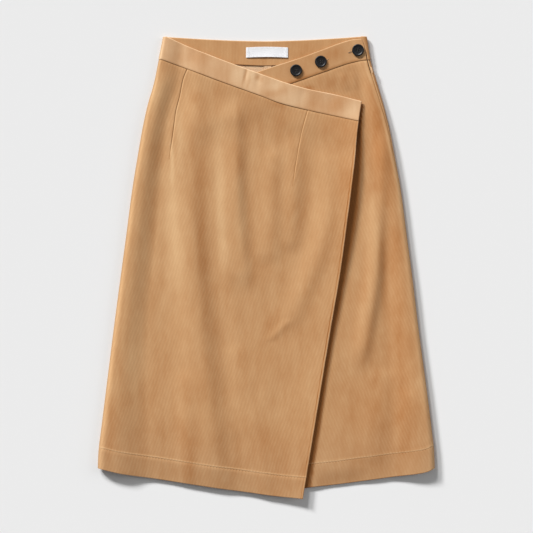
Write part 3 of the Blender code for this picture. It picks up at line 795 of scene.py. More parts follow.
def cord(name, colour, lean, pitch=5.3, ribs=0.11, mottle=0.75, rise=0.6,
         hem_depth=None, seed=0.0):
    """Corduroy: ribs that lean by an angle from upright, a soft pile over them,
    the lines where it is sewn, and painted light and shade. A value about 0
    lightens or darkens it."""
    s = Shader(name)
    flat = s.read("flat", "Vector")
    moved = s.node("VectorMath", {0: flat, 1: (seed, seed * 1.7, seed)},
                   operation="ADD").outputs[0]
    wander = s.total(s.times(s.noise(moved, 0.011, 2.0), 9.0),
                     s.times(s.noise(moved, 0.09, 2.0), 2.2))
    angle = math.radians(lean)
    across = s.total(s.dot(flat, (math.cos(angle), math.sin(angle), 0)), wander)
    turn = s.times(across, 2 * math.pi / pitch)
    wave = s.times(s.math("COSINE", turn), 0.5)
    fine = s.times(s.math("COSINE", s.times(turn, 4.0)), 0.5)
    pile = s.noise(s.stretch(moved, (1.0, 0.35, 1.0), -angle), 0.9, 3.0, 0.6)
    streak = s.noise(s.stretch(moved, (0.075, 0.016, 1.0), -angle), 1.0, 3.0)
    cloud = s.noise(moved, 0.021, 2.0)
    wide = s.noise(moved, 0.0075, 1.0)
    patch = s.noise(s.stretch(moved, (0.16, 0.07, 1.0), -angle), 1.0, 2.0)
    # painted light and shade: cloth that leans towards (-x, +y), facing the key light, is made paler, and cloth
    # leaning away darker
    facing_key_light = s.dot(s.node("NewGeometry").outputs["Normal"], (-0.62, 0.78, 0.0))
    painted_facing_light = s.times(s.math("MAXIMUM", s.math("MINIMUM", facing_key_light, 0.28), -0.16), 1.9)
    # ribs show more where the nap is disturbed
    strength = s.math("MULTIPLY", ribs, s.total(
        1.0, s.times(cloud, 2.2), s.times(patch, 2.4)), clamp=True)
    # the value also takes the painted light and shade that the mesh carries
    value = s.total(
        s.times(wave, strength), s.times(fine, 0.04), s.times(pile, 0.30),
        s.times(patch, 0.36), painted_facing_light,
        s.times(streak, mottle), s.times(cloud, mottle * 0.8),
        s.times(wide, mottle * 0.7), s.read("nap_and_shade"))
    sewn = s.read("sewn")
    sewn_line_and_shade = s.node("MapRange", {"Value": sewn, 1: 0.1, 2: 1.0, 3: 1.0,
                                 4: 0.0}, interpolation_type="SMOOTHSTEP").outputs[0]
    sewn_line_and_shade = s.times(sewn_line_and_shade, s.math("ADD", 0.75, s.times(
        s.noise(moved, 0.05, 2.0), 1.3), clamp=True))
    worn_and_highlit = s.node("MapRange", {"Value": s.read("edge"), 1: 0.5, 2: 1.4, 3: 1.0,
                               4: 0.0}, interpolation_type="SMOOTHSTEP").outputs[0]
    # the line where the facing of the free edge is caught down
    below = s.node("MapRange", {"Value": s.dot(flat, (0.0, 1.0, 0.0)), 1: 170.0,
                                2: 260.0, 3: 0.15, 4: 1.0}).outputs[0]
    caught = s.times(s.times(s.band(s.read("lip"), 2.9, 4.5, 0.5), below),
                     s.total(0.55, s.times(cloud, 1.6), s.times(patch, 1.2)))
    value = s.math("SUBTRACT", value, s.times(caught, 1.7))
    height = s.total(s.times(wave, 2.4 * ribs), s.times(fine, 0.16), s.times(caught, -0.6),
                     s.times(pile, 0.5), s.times(cloud, 0.3))
    if hem_depth:
        hem = s.read("hem")
        down_ribs = s.dot(flat, (1.0, 0.0, 0.0))
        dots = s.math("MAXIMUM", s.times(s.math(
            "COSINE", s.times(down_ribs, 2 * math.pi / 5.0)), 1.6), -0.4)
        drag = s.total(hem, s.times(cloud, 1.2),
                       s.times(s.noise(moved, 0.12, 2.0), 1.3))
        pulled = s.math("ADD", 0.6, s.times(s.noise(moved, 0.018, 1.0), 2.4),
                        clamp=True)
        dark = s.times(s.times(s.band(drag, hem_depth - 2.6, hem_depth - 0.9, 0.5),
                               dots), pulled)
        light = s.band(drag, hem_depth - 0.4, hem_depth + 1.5, 0.6)
        value = s.total(value, s.times(dark, -0.26),
                        s.times(light, s.total(0.62, s.times(dots, 0.22))))
        height = s.total(height, s.times(dark, -0.8), s.times(light, 0.5))
    share = s.math("ADD", s.times(value, 0.5), 0.5, clamp=True)
    dark_tone = tuple(c * k for c, k in zip(colour, (0.74, 0.53, 0.32)))
    light_tone = tuple(c * k for c, k in zip(colour, (1.26, 1.47, 1.70)))
    tone = s.mix(share, rgb(dark_tone), rgb(light_tone))
    if hem_depth:
        # a little darker and less red towards the hem, and again on the turn-up
        low = s.node("MapRange", {"Value": hem, 1: 25.0, 2: 120.0, 3: 1.0,
                                  4: 0.0}).outputs[0]
        tone = s.tint(s.times(low, 1.0), tone, (0.945, 0.962, 1.0))
        tone = s.tint(s.band(hem, -2.0, hem_depth - 0.5, 0.8), tone,
                      (0.965, 0.975, 0.985))
    # painted shadow: near black where the painted shade runs deepest, in the creases
    painted_deep_shadow = s.node("MapRange", {"Value": value, 1: -2.3, 2: -1.0, 3: 0.75,
                               4: 0.0}).outputs[0]
    tone = s.mix(painted_deep_shadow, tone, rgb((0.10, 0.030, 0.006)))
    # sewn lines: a dark joint, with painted shade where the seam's step would cast it
    tone = s.mix(s.times(sewn_line_and_shade, 0.80), tone, rgb((0.32, 0.125, 0.027)))
    # painted shade on steep sides that face the light
    painted_steep_shade = s.node("MapRange", {"Value": facing_key_light, 1: 0.22, 2: 0.62, 3: 0.0,
                                4: 0.75}, interpolation_type="SMOOTHSTEP").outputs[0]
    tone = s.mix(painted_steep_shade, tone, rgb(tuple(c * k for c, k in zip(
        colour, (0.56, 0.62, 0.70)))))
    # folded edges are paler, partly from wear and partly a painted highlight
    tone = s.mix(s.times(worn_and_highlit, s.total(0.12, s.times(pile, 0.7), s.times(cloud, 0.8))),
                 tone, rgb((0.78, 0.62, 0.44)))
    bump = s.node("Bump", {"Strength": 0.5, "Distance": 0.0005 * rise,
                           "Height": height})
    s.set(Base_Color=tone, Roughness=0.92, Normal=bump.outputs[0])
    s.set(**{"Specular IOR Level": 0.22, "Sheen Weight": 0.22,
             "Sheen Roughness": 0.42})
    s.surface.inputs["Sheen Tint"].default_value = rgb((1.0, 0.86, 0.68))
    s.material.diffuse_color = rgb(colour)
    return s.material


def plain_weave(name, colour, pitch=0.9, contrast=0.10, rough=0.85, sheen=0.1,
                rise=0.5, spec=0.25):
    """A plain or satin weave of crossing threads."""
    s = Shader(name)
    flat = s.read("flat", "Vector")
    a = s.math("SINE", s.times(s.dot(flat, (1.0, 0.12, 0)), 2 * math.pi / pitch))
    b = s.math("SINE", s.times(s.dot(flat, (-0.1, 1.0, 0)), 2 * math.pi / pitch))
    weave = s.times(a, b)
    slub = s.noise(s.stretch(flat, (0.25, 1.6, 1.0)), 1.0, 2.0)
    cloud = s.noise(flat, 0.05, 2.0)
    value = s.total(s.times(weave, contrast), s.times(slub, 0.3),
                    s.times(cloud, 0.4), s.read("nap_and_shade"))
    share = s.math("ADD", s.times(value, 0.5), 0.5, clamp=True)
    tone = s.mix(share, rgb(tuple(c * 0.72 for c in colour)),
                 rgb(tuple(min(c * 1.22, 1.0) for c in colour)))
    bump = s.node("Bump", {"Strength": 0.4, "Distance": 0.0003 * rise,
                           "Height": s.total(weave, slub)})
    s.set(Base_Color=tone, Roughness=rough, Normal=bump.outputs[0])
    s.set(**{"Specular IOR Level": spec, "Sheen Weight": sheen})
    s.material.diffuse_color = rgb(colour)
    return s.material


def thread(name, colour):
    s = Shader(name)
    place = s.node("TexCoord").outputs["Object"]
    twist = s.node("TexWave", {"Vector": place, "Scale": 900.0,
                               "Distortion": 0.6}, bands_direction="DIAGONAL")
    tone = s.mix(twist.outputs["Fac"], rgb(tuple(c * 0.7 for c in colour)),
                 rgb(tuple(c * 1.2 for c in colour)))
    bump = s.node("Bump", {"Strength": 0.5, "Distance": 0.00015,
                           "Height": twist.outputs["Fac"]})
    s.set(Base_Color=tone, Roughness=0.7, Normal=bump.outputs[0])
    s.material.diffuse_color = rgb(colour)
    return s.material


def button_black():
    s = Shader("button_black")
    place = s.node("TexCoord").outputs["Object"]
    cloud = s.noise(place, 260.0, 3.0)
    scuff = s.noise(s.stretch(place, (1.0, 9.0, 1.0), 0.5), 380.0, 2.0)
    share = s.math("ADD", s.times(cloud, 0.9), 0.5, clamp=True)
    tone = s.mix(share, rgb((0.006, 0.006, 0.007)), rgb((0.014, 0.013, 0.014)))
    rough = s.total(0.40, s.times(scuff, 0.18))
    bump = s.node("Bump", {"Strength": 0.25, "Distance": 0.0001,
                           "Height": scuff})
    s.set(Base_Color=tone, Roughness=rough, Normal=bump.outputs[0])
    s.set(**{"Specular IOR Level": 0.32})
    s.material.diffuse_color = (0.02, 0.02, 0.02, 1)
    return s.material


CORD = (0.510, 0.271, 0.118)
# the over band is the same cord, paler by a painted sheen where its pile faces the light
CORD_BAND_PAINTED_SHEEN = (0.600, 0.350, 0.178)
CORD_BACK = (0.515, 0.270, 0.114)
INSIDE = (0.66, 0.44, 0.265)

cord_over = cord("cord_over", CORD, 19.0, ribs=0.16, hem_depth=HEM_OVER, seed=3.0)
cord_under = cord("cord_under", CORD, -22.0, ribs=0.14, hem_depth=HEM_UNDER, seed=31.0)
cord_back_l = cord("cord_back_left", CORD, 7.0, hem_depth=HEM_BACK, seed=57.0)
cord_back_r = cord("cord_back_right", CORD, -7.0, hem_depth=HEM_BACK, seed=83.0)
cord_over_band = cord("cord_over_band", CORD_BAND_PAINTED_SHEEN, 70.0, ribs=0.025,
                      mottle=0.9, seed=110.0)
cord_under_band = cord("cord_under_band", CORD, -62.0, ribs=0.03,
                       mottle=0.7, seed=140.0)
cord_back_band = cord("cord_back_band", CORD_BACK, 4.0, ribs=0.08,
                      mottle=0.7, seed=170.0)
inside = plain_weave("cord_inside", INSIDE)
label_white = plain_weave("label_white", (0.84, 0.84, 0.88), pitch=0.55,
                          contrast=0.06, rough=0.6, sheen=0.0, rise=0.4)
thread_tan = thread("thread_tan", (0.50, 0.28, 0.13))
thread_dark = thread("thread_dark", (0.03, 0.026, 0.024))
black = button_black()


# ---------------------------------------------------------------- the panels
EDGE = (0.0, 0.06, 0.25, 0.6, 1.1, 1.8, 3.0)
FOLDED = (0.0, 0.08, 0.3, 0.7, 1.2, 2.0, 3.2)
HEM_ROWS = tuple(FOLDED) + (5.0, 8.0, 11.5, 15.0, 18.5, 22.0, 25.5, 28.5, 31.0,
                            32.6, 33.6, 34.4, 35.1, 35.8, 36.5, 37.2, 37.9,
                            38.7, 39.6, 41.0, 43.0, 45.5, 48.5)
SEAM_ROWS = tuple(EDGE) + (4.6, 6.6)
TURNED = np.concatenate([[0, 0.004, 0.015, 0.035, 0.07], np.linspace(0.12, 1, 14)])
SHORT_TURNED = np.concatenate([[0, 0.004, 0.015, 0.035, 0.07],
                               np.linspace(0.12, 1, 10)])


def sewn_dip(grid, radius=2.2, deep=0.25):
    """Draws the cloth down towards the seam that it ends in."""
    grid.points[..., 2] -= deep * np.exp(-(np.abs(grid.seam) / radius) ** 2)


def turn_up(grid, depth):
    """Extra inner thickness of the turned-up hem, and the small step on the
    outside where it is caught down."""
    inner = TURN_UP * ease((depth - grid.hem) / 1.4 + 0.5)
    line = grid.hem - depth
    outer = (0.16 * np.exp(-((line - 1.0) / 1.1) ** 2)
             - 0.07 * np.exp(-((line + 1.0) / 1.0) ** 2))
    return inner, outer


# painted light and shade along the folds, with the patches below
def painted_shade_and_nap(grid, layer):
    return (streaks(PAINTED_FOLD_SHADE, PAINTED_FOLD_COLUMNS, "amount", grid.x, grid.down, layer, 0.6)
            + patches(grid, layer))


# Patches lighter (+) or darker (-), partly where the pile lies the other way
# and partly painted light and shade: layer, x, down, half width along it,
# half depth, amount.
PILE_AND_SHADE_PATCHES = (
    ("over_band", -52, 68, 10, 14, 0.40), ("over_band", -36, 66, 2.2, 17, -0.75),
    ("over_band", -30, 80, 2.0, 12, -0.40), ("over_band", -24, 64, 3, 9, 0.25),
    ("over_band", -15, 71, 4.5, 4.5, -0.70), ("over_band", -8, 75, 3, 4, -0.45),
    ("over_band", 11, 86, 10, 12, 0.34), ("over_band", 8, 98, 20, 7, -0.50), ("over_band", 32, 90, 9, 9, -0.40),
    ("over_band", 60, 104, 11, 13, 0.40), ("over_band", 84, 112, 9, 12, -0.15),
    ("over_band", 146, 128, 15, 16, 0.40), ("over_band", 122, 116, 16, 14, -0.48),
    ("over_band", -108, 40, 14, 14, -0.25), ("over_band", -150, 22, 14, 14, 0.12), ("over_band", -112, 26, 34, 20, -0.36),
    ("under_band", 60, 76, 14, 12, -0.30), ("under_band", 115, 32, 16, 12, -0.42),
    ("under_band", 128, 52, 10, 8, 0.20),
    ("back_band", -30, 30, 14, 20, 0.20), ("back_band", 70, 26, 16, 18, -0.20),
    ("under", 72, 90, 9, 6, -0.75), ("under", 132, 74, 6, 12, -0.35),
    ("under", 112, 80, 7, 9, -0.30), ("under", 150, 82, 5, 16, 0.20),
    ("over", 24, 112, 12, 9, -0.45), ("over", 112, 152, 14, 14, -0.25),
    ("over", -176, 96, 17, 34, 0.50), ("over_band", -176, 48, 13, 20, 0.25),
    ("over", -36, 405, 10, 24, 0.45), ("over", -182, 150, 12, 30, 0.32),
    ("over", -188, 245, 10, 20, 0.35), ("over", -172, 446, 8, 18, 0.32),
    ("over", -27, 206, 15, 14, 0.28), ("over", 50, 309, 6, 14, 0.35),
    ("over", 10, 492, 12, 26, -0.32), ("over", -121, 104, 12, 10, -0.35),
    ("under_band", 166, 34, 8, 16, 0.35), ("under", 188, 583, 8, 20, -0.32),
    ("under", 245, 583, 14, 20, -0.30), ("under", 222, 655, 9, 16, -0.28),
    ("over", -69, 755, 8, 12, 0.30), ("over", 64, 740, 7, 26, -0.30),
)


def patches(grid, layer):
    total = np.zeros(grid.x.shape)
    for where, x, down, wide, deep, amount in PILE_AND_SHADE_PATCHES:
        if where == layer:
            total = total + amount * np.exp(
                -np.abs((grid.x - x + 0.3 * (grid.down - down)) / wide) ** 2.6
                - np.abs((grid.down - down) / deep) ** 2.6)
    return total


def painted_rim_light(grid):
    """Painted light that makes the rolled right side paler, most of all in a
    line along the seam."""
    inset = OUTLINE.at("right", grid.down) - grid.x
    around = arc(grid.points, 1)
    away = around[:, -1:] - around
    line = np.exp(-((away - 4.4) / 1.5) ** 2) * ease((330.0 - grid.down) / 60.0)
    rim = np.exp(-(inset / 8.0) ** 2) * (0.90 + 0.30 * ease((420.0 - grid.down) / 90.0))
    return rim + 0.45 * line


def painted_crease_shadow(grid):
    """Painted shadow in the crease next to the free edge above it."""
    narrow = ease((300.0 - grid.down) / 60.0)
    low = ease((grid.down - 610.0) / 90.0)
    wide = (1.5 - 0.4 * narrow + 0.4 * low) * (WRAP_LIFT.at("lift", grid.down) + 1.5)
    beside = grid.x - WRAP_EDGE.at("x", grid.down)
    below = ease((grid.down - 112.0) / 12.0)
    deep = 1.22 + 1.0 * ease((225.0 - grid.down) / 60.0)
    return -deep * below * ease((1.45 - beside / wide) * 1.4) * ease(1.3 + beside / 60.0)


dart_offsets = (-5.0, -3.2, -2.0, -1.3, -0.8, -0.4, 0.0, 0.4, 0.8, 1.3, 2.0,
                3.2, 5.0, 7.2)
over = front(
    "over", "panel", rows_between(672.0, SEAM_ROWS, HEM_ROWS, 3.3), TURNED,
    places_between(348.0, (2.4,), tuple(FOLDED) + (5.0,), 2.9,
                   [(p, dart_offsets) for p in DART_PLACES]), PANEL_THICK)
sewn_dip(over)
inner, outer = turn_up(over, HEM_OVER)
over.points[..., 2] += 0.3 * ease((HEM_OVER - over.hem) / 6.0)
front_over = shell(
    "front_over_cloth", over, PANEL_THICK, 1.0, (0.45, 0.9, 0.7, 0.9),
    (cord_over, inside), outer, inner, over.hem > HEM_OVER, painted_shade_and_nap(over, "over"),
    folded=(1, 3), sewn_to=(0,))

under = front(
    "under", "panel", rows_between(690.0, SEAM_ROWS, HEM_ROWS, 3.5), SHORT_TURNED,
    np.concatenate([np.linspace(0, 0.72, 74)[1:], np.linspace(0.72, 1, 15)[1:-3],
                    1 - np.array((3.0, 1.2, 0.5, 0.1, 0.0)) / 290]), PANEL_THICK)
sewn_dip(under)
inner, outer = turn_up(under, HEM_UNDER)
front_under = shell(
    "front_under_cloth", under, PANEL_THICK, 1.0, (0.45, 0.9, 0.9, 0.5),
    (cord_under, inside), outer, inner * 0.6, under.hem > HEM_UNDER,
    painted_shade_and_nap(under, "under") + painted_crease_shadow(under) + painted_rim_light(under),
    seamed=(3,), sewn_to=(0, 3))


def side_light(grid, half):
    """The back's edge along the right side seam stands proud and gets a painted highlight."""
    if half == "left":
        return None
    away = arc(grid.points, 1)
    return 0.85 * ease(1.0 - (away[:, -1:] - away - 0.2) / 2.2)


back_rows = rows_between(700.0, SEAM_ROWS, HEM_ROWS, 5.0)
back_places = np.concatenate([np.linspace(0, 1, 60)[1:-1],
                              1 - np.array((2.4, 1.2, 0.5, 0.1, 0.0)) / 290])
backs = {}
for half, finish in (("left", cord_back_l), ("right", cord_back_r)):
    grid = back("panel", half, back_rows, TURNED[::-1] * -1 + 1, back_places,
                PANEL_THICK)
    inner, outer = turn_up(grid, HEM_BACK)
    edges = (1.4, 0.9, 0.7, 0.7)
    backs[half] = shell(
        f"back_{half}_cloth", grid, PANEL_THICK, -1.0, edges, (finish, inside),
        np.minimum(outer, 0.0) * 0.5, inner * 0.6, grid.hem > HEM_BACK,
        side_light(grid, half))

# ---------------------------------------------------------------- the bands
BAND_EDGE = (0.0, 0.05, 0.2, 0.5, 0.9, 1.4, 2.2, 3.4)
band_rows = rows_between(38.5, BAND_EDGE, BAND_EDGE, 2.1)


def band_pucker(grid, seed):
    """Small waves in the band's face, largest next to its seam."""
    low = np.exp(-np.abs(grid.seam) / 10.0)
    return (0.10 * drift(grid.x, grid.down, 9.0, 22.0, seed) * low
            + 0.12 * drift(grid.x, grid.down, 24.0, 30.0, seed + 1))


# Soft dents across the over band: x, down, depth, half width along; all lean alike.
DENTS = (
    (-34.0, 62.0, 0.75, 3.2), (-13.0, 72.0, 0.55, 5.0), (-122.0, 30.0, 0.35, 8.0),
    (64.0, 96.0, 0.35, 7.0), (20.0, 82.0, 0.3, 9.0), (112.0, 110.0, 0.3, 8.0),
)
over_b = front("over", "band", band_rows, TURNED,
               places_between(344.0, (2.0,), BAND_EDGE + (5.0,), 2.2), BAND_THICK)
over_b.points[..., 2] += band_pucker(over_b, 21)
for dent_x, dent_down, deep, wide in DENTS:
    over_b.points[..., 2] -= deep * np.exp(
        -((over_b.x - dent_x + 0.15 * (over_b.down - dent_down)) / wide) ** 2
        - ((over_b.down - dent_down) / 16.0) ** 2)
over_band = shell("over_waistband_cloth", over_b, BAND_THICK, 1.0,
                  (1.3, 3.0, 0.8, 1.2), (cord_over_band,),
                  nap_and_shade=painted_shade_and_nap(over_b, "over_band"),
                  folded=(0, 3), sewn_to=(1,))
under_b = front("under", "band", band_rows, SHORT_TURNED,
                places_between(280.0, (2.0,), BAND_EDGE, 2.6), BAND_THICK)
under_b.points[..., 2] += band_pucker(under_b, 31)
under_band = shell("under_waistband_cloth", under_b, BAND_THICK, 1.0,
                   (1.3, 3.0, 1.0, 0.8), (cord_under_band,),
                   nap_and_shade=painted_shade_and_nap(under_b, "under_band")
                   # less the painted shade just above the band's seam
                   - 0.40 * np.exp(-((under_b.seam + 2.8) / 1.9) ** 2),
                   folded=(0,), sewn_to=(1,))
back_b = back("band", "whole", band_rows, TURNED[::-1] * -1 + 1,
              np.linspace(0, 1, 130)[1:-1], BAND_THICK)
back_b.points[..., 2] += 0.18 + 0.16 * drift(back_b.x, back_b.down, 12.0, 60.0, 41)
back_band = shell("back_waistband_cloth", back_b, BAND_THICK, -1.0,
                  (1.3, 1.0, 0.7, 0.7), (cord_back_band,),
                  nap_and_shade=painted_shade_and_nap(back_b, "back_band"), folded=(0, 1))


# ---------------------------------------------------------------- small pieces
def small_grid(x, down, z):
    return Grid(x, down, z, dart=99.0, seam=99.0, hem=999.0)


def with_edges(count, length, radius):
    edge = np.array((0.0, 0.06, 0.3, 0.7, 1.2)) * radius / length
    return np.concatenate([edge, np.linspace(edge[-1], 1 - edge[-1], count)[1:-1],
                           1 - edge[::-1]])


def make_label():
    u = with_edges(60, LABEL_WIDE, 0.4)[None, :]
    v = with_edges(16, LABEL_DEEP, 0.4)[:, None]
    arch = LABEL_ARCH * 4 * u * (1 - u)
    x = LABEL_X + (u - 0.5) * LABEL_WIDE
    down = LABEL_DOWN + LABEL_DEEP * v - arch
    free = (4 * u * (1 - u)) ** 0.5
    z = BAND_THICK + 0.5 + LABEL_THICK / 2 + 0.9 * v * v * free \
        + 0.22 * drift(x, down, 13.0, 14.0, 51) * free
    # both short ends are folded under and caught down
    fold = np.minimum(u, 1 - u) * LABEL_WIDE
    z = z + 0.25 * ease((6.0 - fold) / 1.5) - 0.3 * ease((1.6 - fold) / 1.2)
    obj = shell("label_cloth", small_grid(x, down, z), LABEL_THICK, 1.0,
                (0.3, 0.3, 0.3, 0.3), (label_white,))
    return obj


def make_allowance():
    """The centre-back seam allowance, pressed open on both sides."""
    length = 706.0
    start = 50.6 + 0.6
    t = with_edges(90, length, 0.4)[:, None]
    u = np.array((-1, -0.985, -0.95, -0.9, -0.8, -0.55, -0.3, -0.12, -0.05, 0.0,
                  0.05, 0.12, 0.3, 0.55, 0.8, 0.9, 0.95, 0.985, 1))[None, :]
    half = ALLOWANCE_WIDE / 2
    down = start + length * t + 0 * u
    x = CENTRE_BACK + half * u + 0.25 * drift(down, down * 0 + 40, 30.0, 30.0, 61)
    z = PANEL_THICK + 0.5 + 0.18 * (1 - np.exp(-(u / 0.1) ** 2)) \
        + 0.1 * drift(x, down, 8.0, 26.0, 62)
    return shell("centre_back_allowance", small_grid(x, down, z), 0.6, 1.0,
                 (0.3, 0.3, 0.3, 0.3), (inside,))


def make_tab():
    """The pale hanging strip on the shoulder of the right side opening, lightened further by a painted
    highlight.
    """
    v = with_edges(14, TAB_LONG, 0.4)[:, None]
    down = TAB_DOWN + TAB_LONG * v
    edge = OUTLINE.at("right", down)
    seam = side_turn(RIGHT_SIDE, down, RIGHT_SIDE.at("seam", down))
    w = with_edges(5, 2.4, 0.4)[None, :]
    turn = seam - 0.36 + 0.18 * w
    x, z = side_point(RIGHT_SIDE, -1, edge, down, turn, PANEL_THICK, under_height)
    z = z.max(axis=1, keepdims=True) * 0.75 + z * 0.25
    out = PANEL_THICK / 2 + SEAM_GAP + 0.5 + 0.5 * np.sin(math.pi * v)
    x = x + out * np.cos(turn * math.pi / 2)
    z = z + out * np.sin(turn * math.pi / 2)
    return shell("side_tab_cloth", small_grid(x[:, ::-1], down, z[:, ::-1]), 0.7,
                 1.0, (0.35, 0.35, 0.35, 0.35), (inside,),
                 # a painted highlight
                 nap_and_shade=np.full(x.shape, 0.9))


def add_mesh(name, verts, faces, material, slot):
    mesh = bpy.data.meshes.new(name)
    mesh.from_pydata(verts, [], faces)
    mesh.materials.append(material)
    mesh.shade_smooth()
    obj = bpy.data.objects.new(name, mesh)
    bpy.context.scene.collection.objects.link(obj)
    return obj


def beads(places):
    """Joined small stitches: each is a place, a direction, an upward normal
    and a half length, half width and half height in millimetres."""
    verts, faces = [], []
    rings, sides = 5, 8
    for place, along, up, long, wide, high in places:
        along = along / np.linalg.norm(along)
        side = np.cross(up, along)
        side /= np.linalg.norm(side)
        first = len(verts)
        verts.append(tuple((place - along * long) * MM))
        for i in range(1, rings + 1):
            t = -math.cos(math.pi * i / (rings + 1))
            size = math.sqrt(1 - t * t) ** 0.7
            for k in range(sides):
                a = 2 * math.pi * k / sides
                p = (place + along * long * t + side * wide * size * math.cos(a)
                     + up * high * size * math.sin(a))
                verts.append(tuple(p * MM))
        verts.append(tuple((place + along * long) * MM))
        last = len(verts) - 1
        for k in range(sides):
            k2 = (k + 1) % sides
            faces.append((first, first + 1 + k2, first + 1 + k))
            faces.append((last, last - sides + k, last - sides + k2))
            for i in range(rings - 1):
                a = first + 1 + i * sides
                faces.append((a + k, a + k2, a + sides + k2, a + sides + k))
    return verts, faces


def hem_stitches(name, grid, depth, pitch=5.0):
    """Small hand-set stitches that catch the hem down."""
    row = int(np.argmin(np.abs(np.median(grid.hem, axis=1) - (depth - 1.4))))
    line = grid.points[row]
    length = np.concatenate([[0], np.cumsum(np.linalg.norm(
        np.diff(line, axis=0), axis=1))])
    normal = np.cross(np.gradient(grid.points, axis=0),
                      np.gradient(grid.points, axis=1))[row]
    normal /= np.linalg.norm(normal, axis=1, keepdims=True)
    rng = np.random.default_rng(71)
    places = []
    for at in np.arange(4.0, length[-1] - 4.0, pitch):
        at = at + rng.uniform(-0.5, 0.5)
        p = np.array([np.interp(at, length, line[:, k]) for k in range(3)])
        q = np.array([np.interp(at + 1, length, line[:, k]) for k in range(3)])
        up = np.array([np.interp(at, length, normal[:, k]) for k in range(3)])
        if up[2] < 0.15:
            continue
        lean = rng.uniform(-0.25, 0.25)
        along = (q - p) + lean * np.cross(up, q - p)
        places.append((p + up * (PANEL_THICK / 2 - 0.32), along, up,
                       0.9, 0.26, 0.26))
    return add_mesh(name, *beads(places), thread_tan, "cord")


def surface_frame(x, down, step=4.0):
    """Place and directions on the under band's face."""
    z = float(under_height(x, down))
    across = float(under_height(x + step, down) - under_height(x - step, down)) / (2 * step)
    along = float(under_height(x, down - step) - under_height(x, down + step)) / (2 * step)
    up = Vector((-across, -along, 1.0)).normalized()
    return z, across, along, up


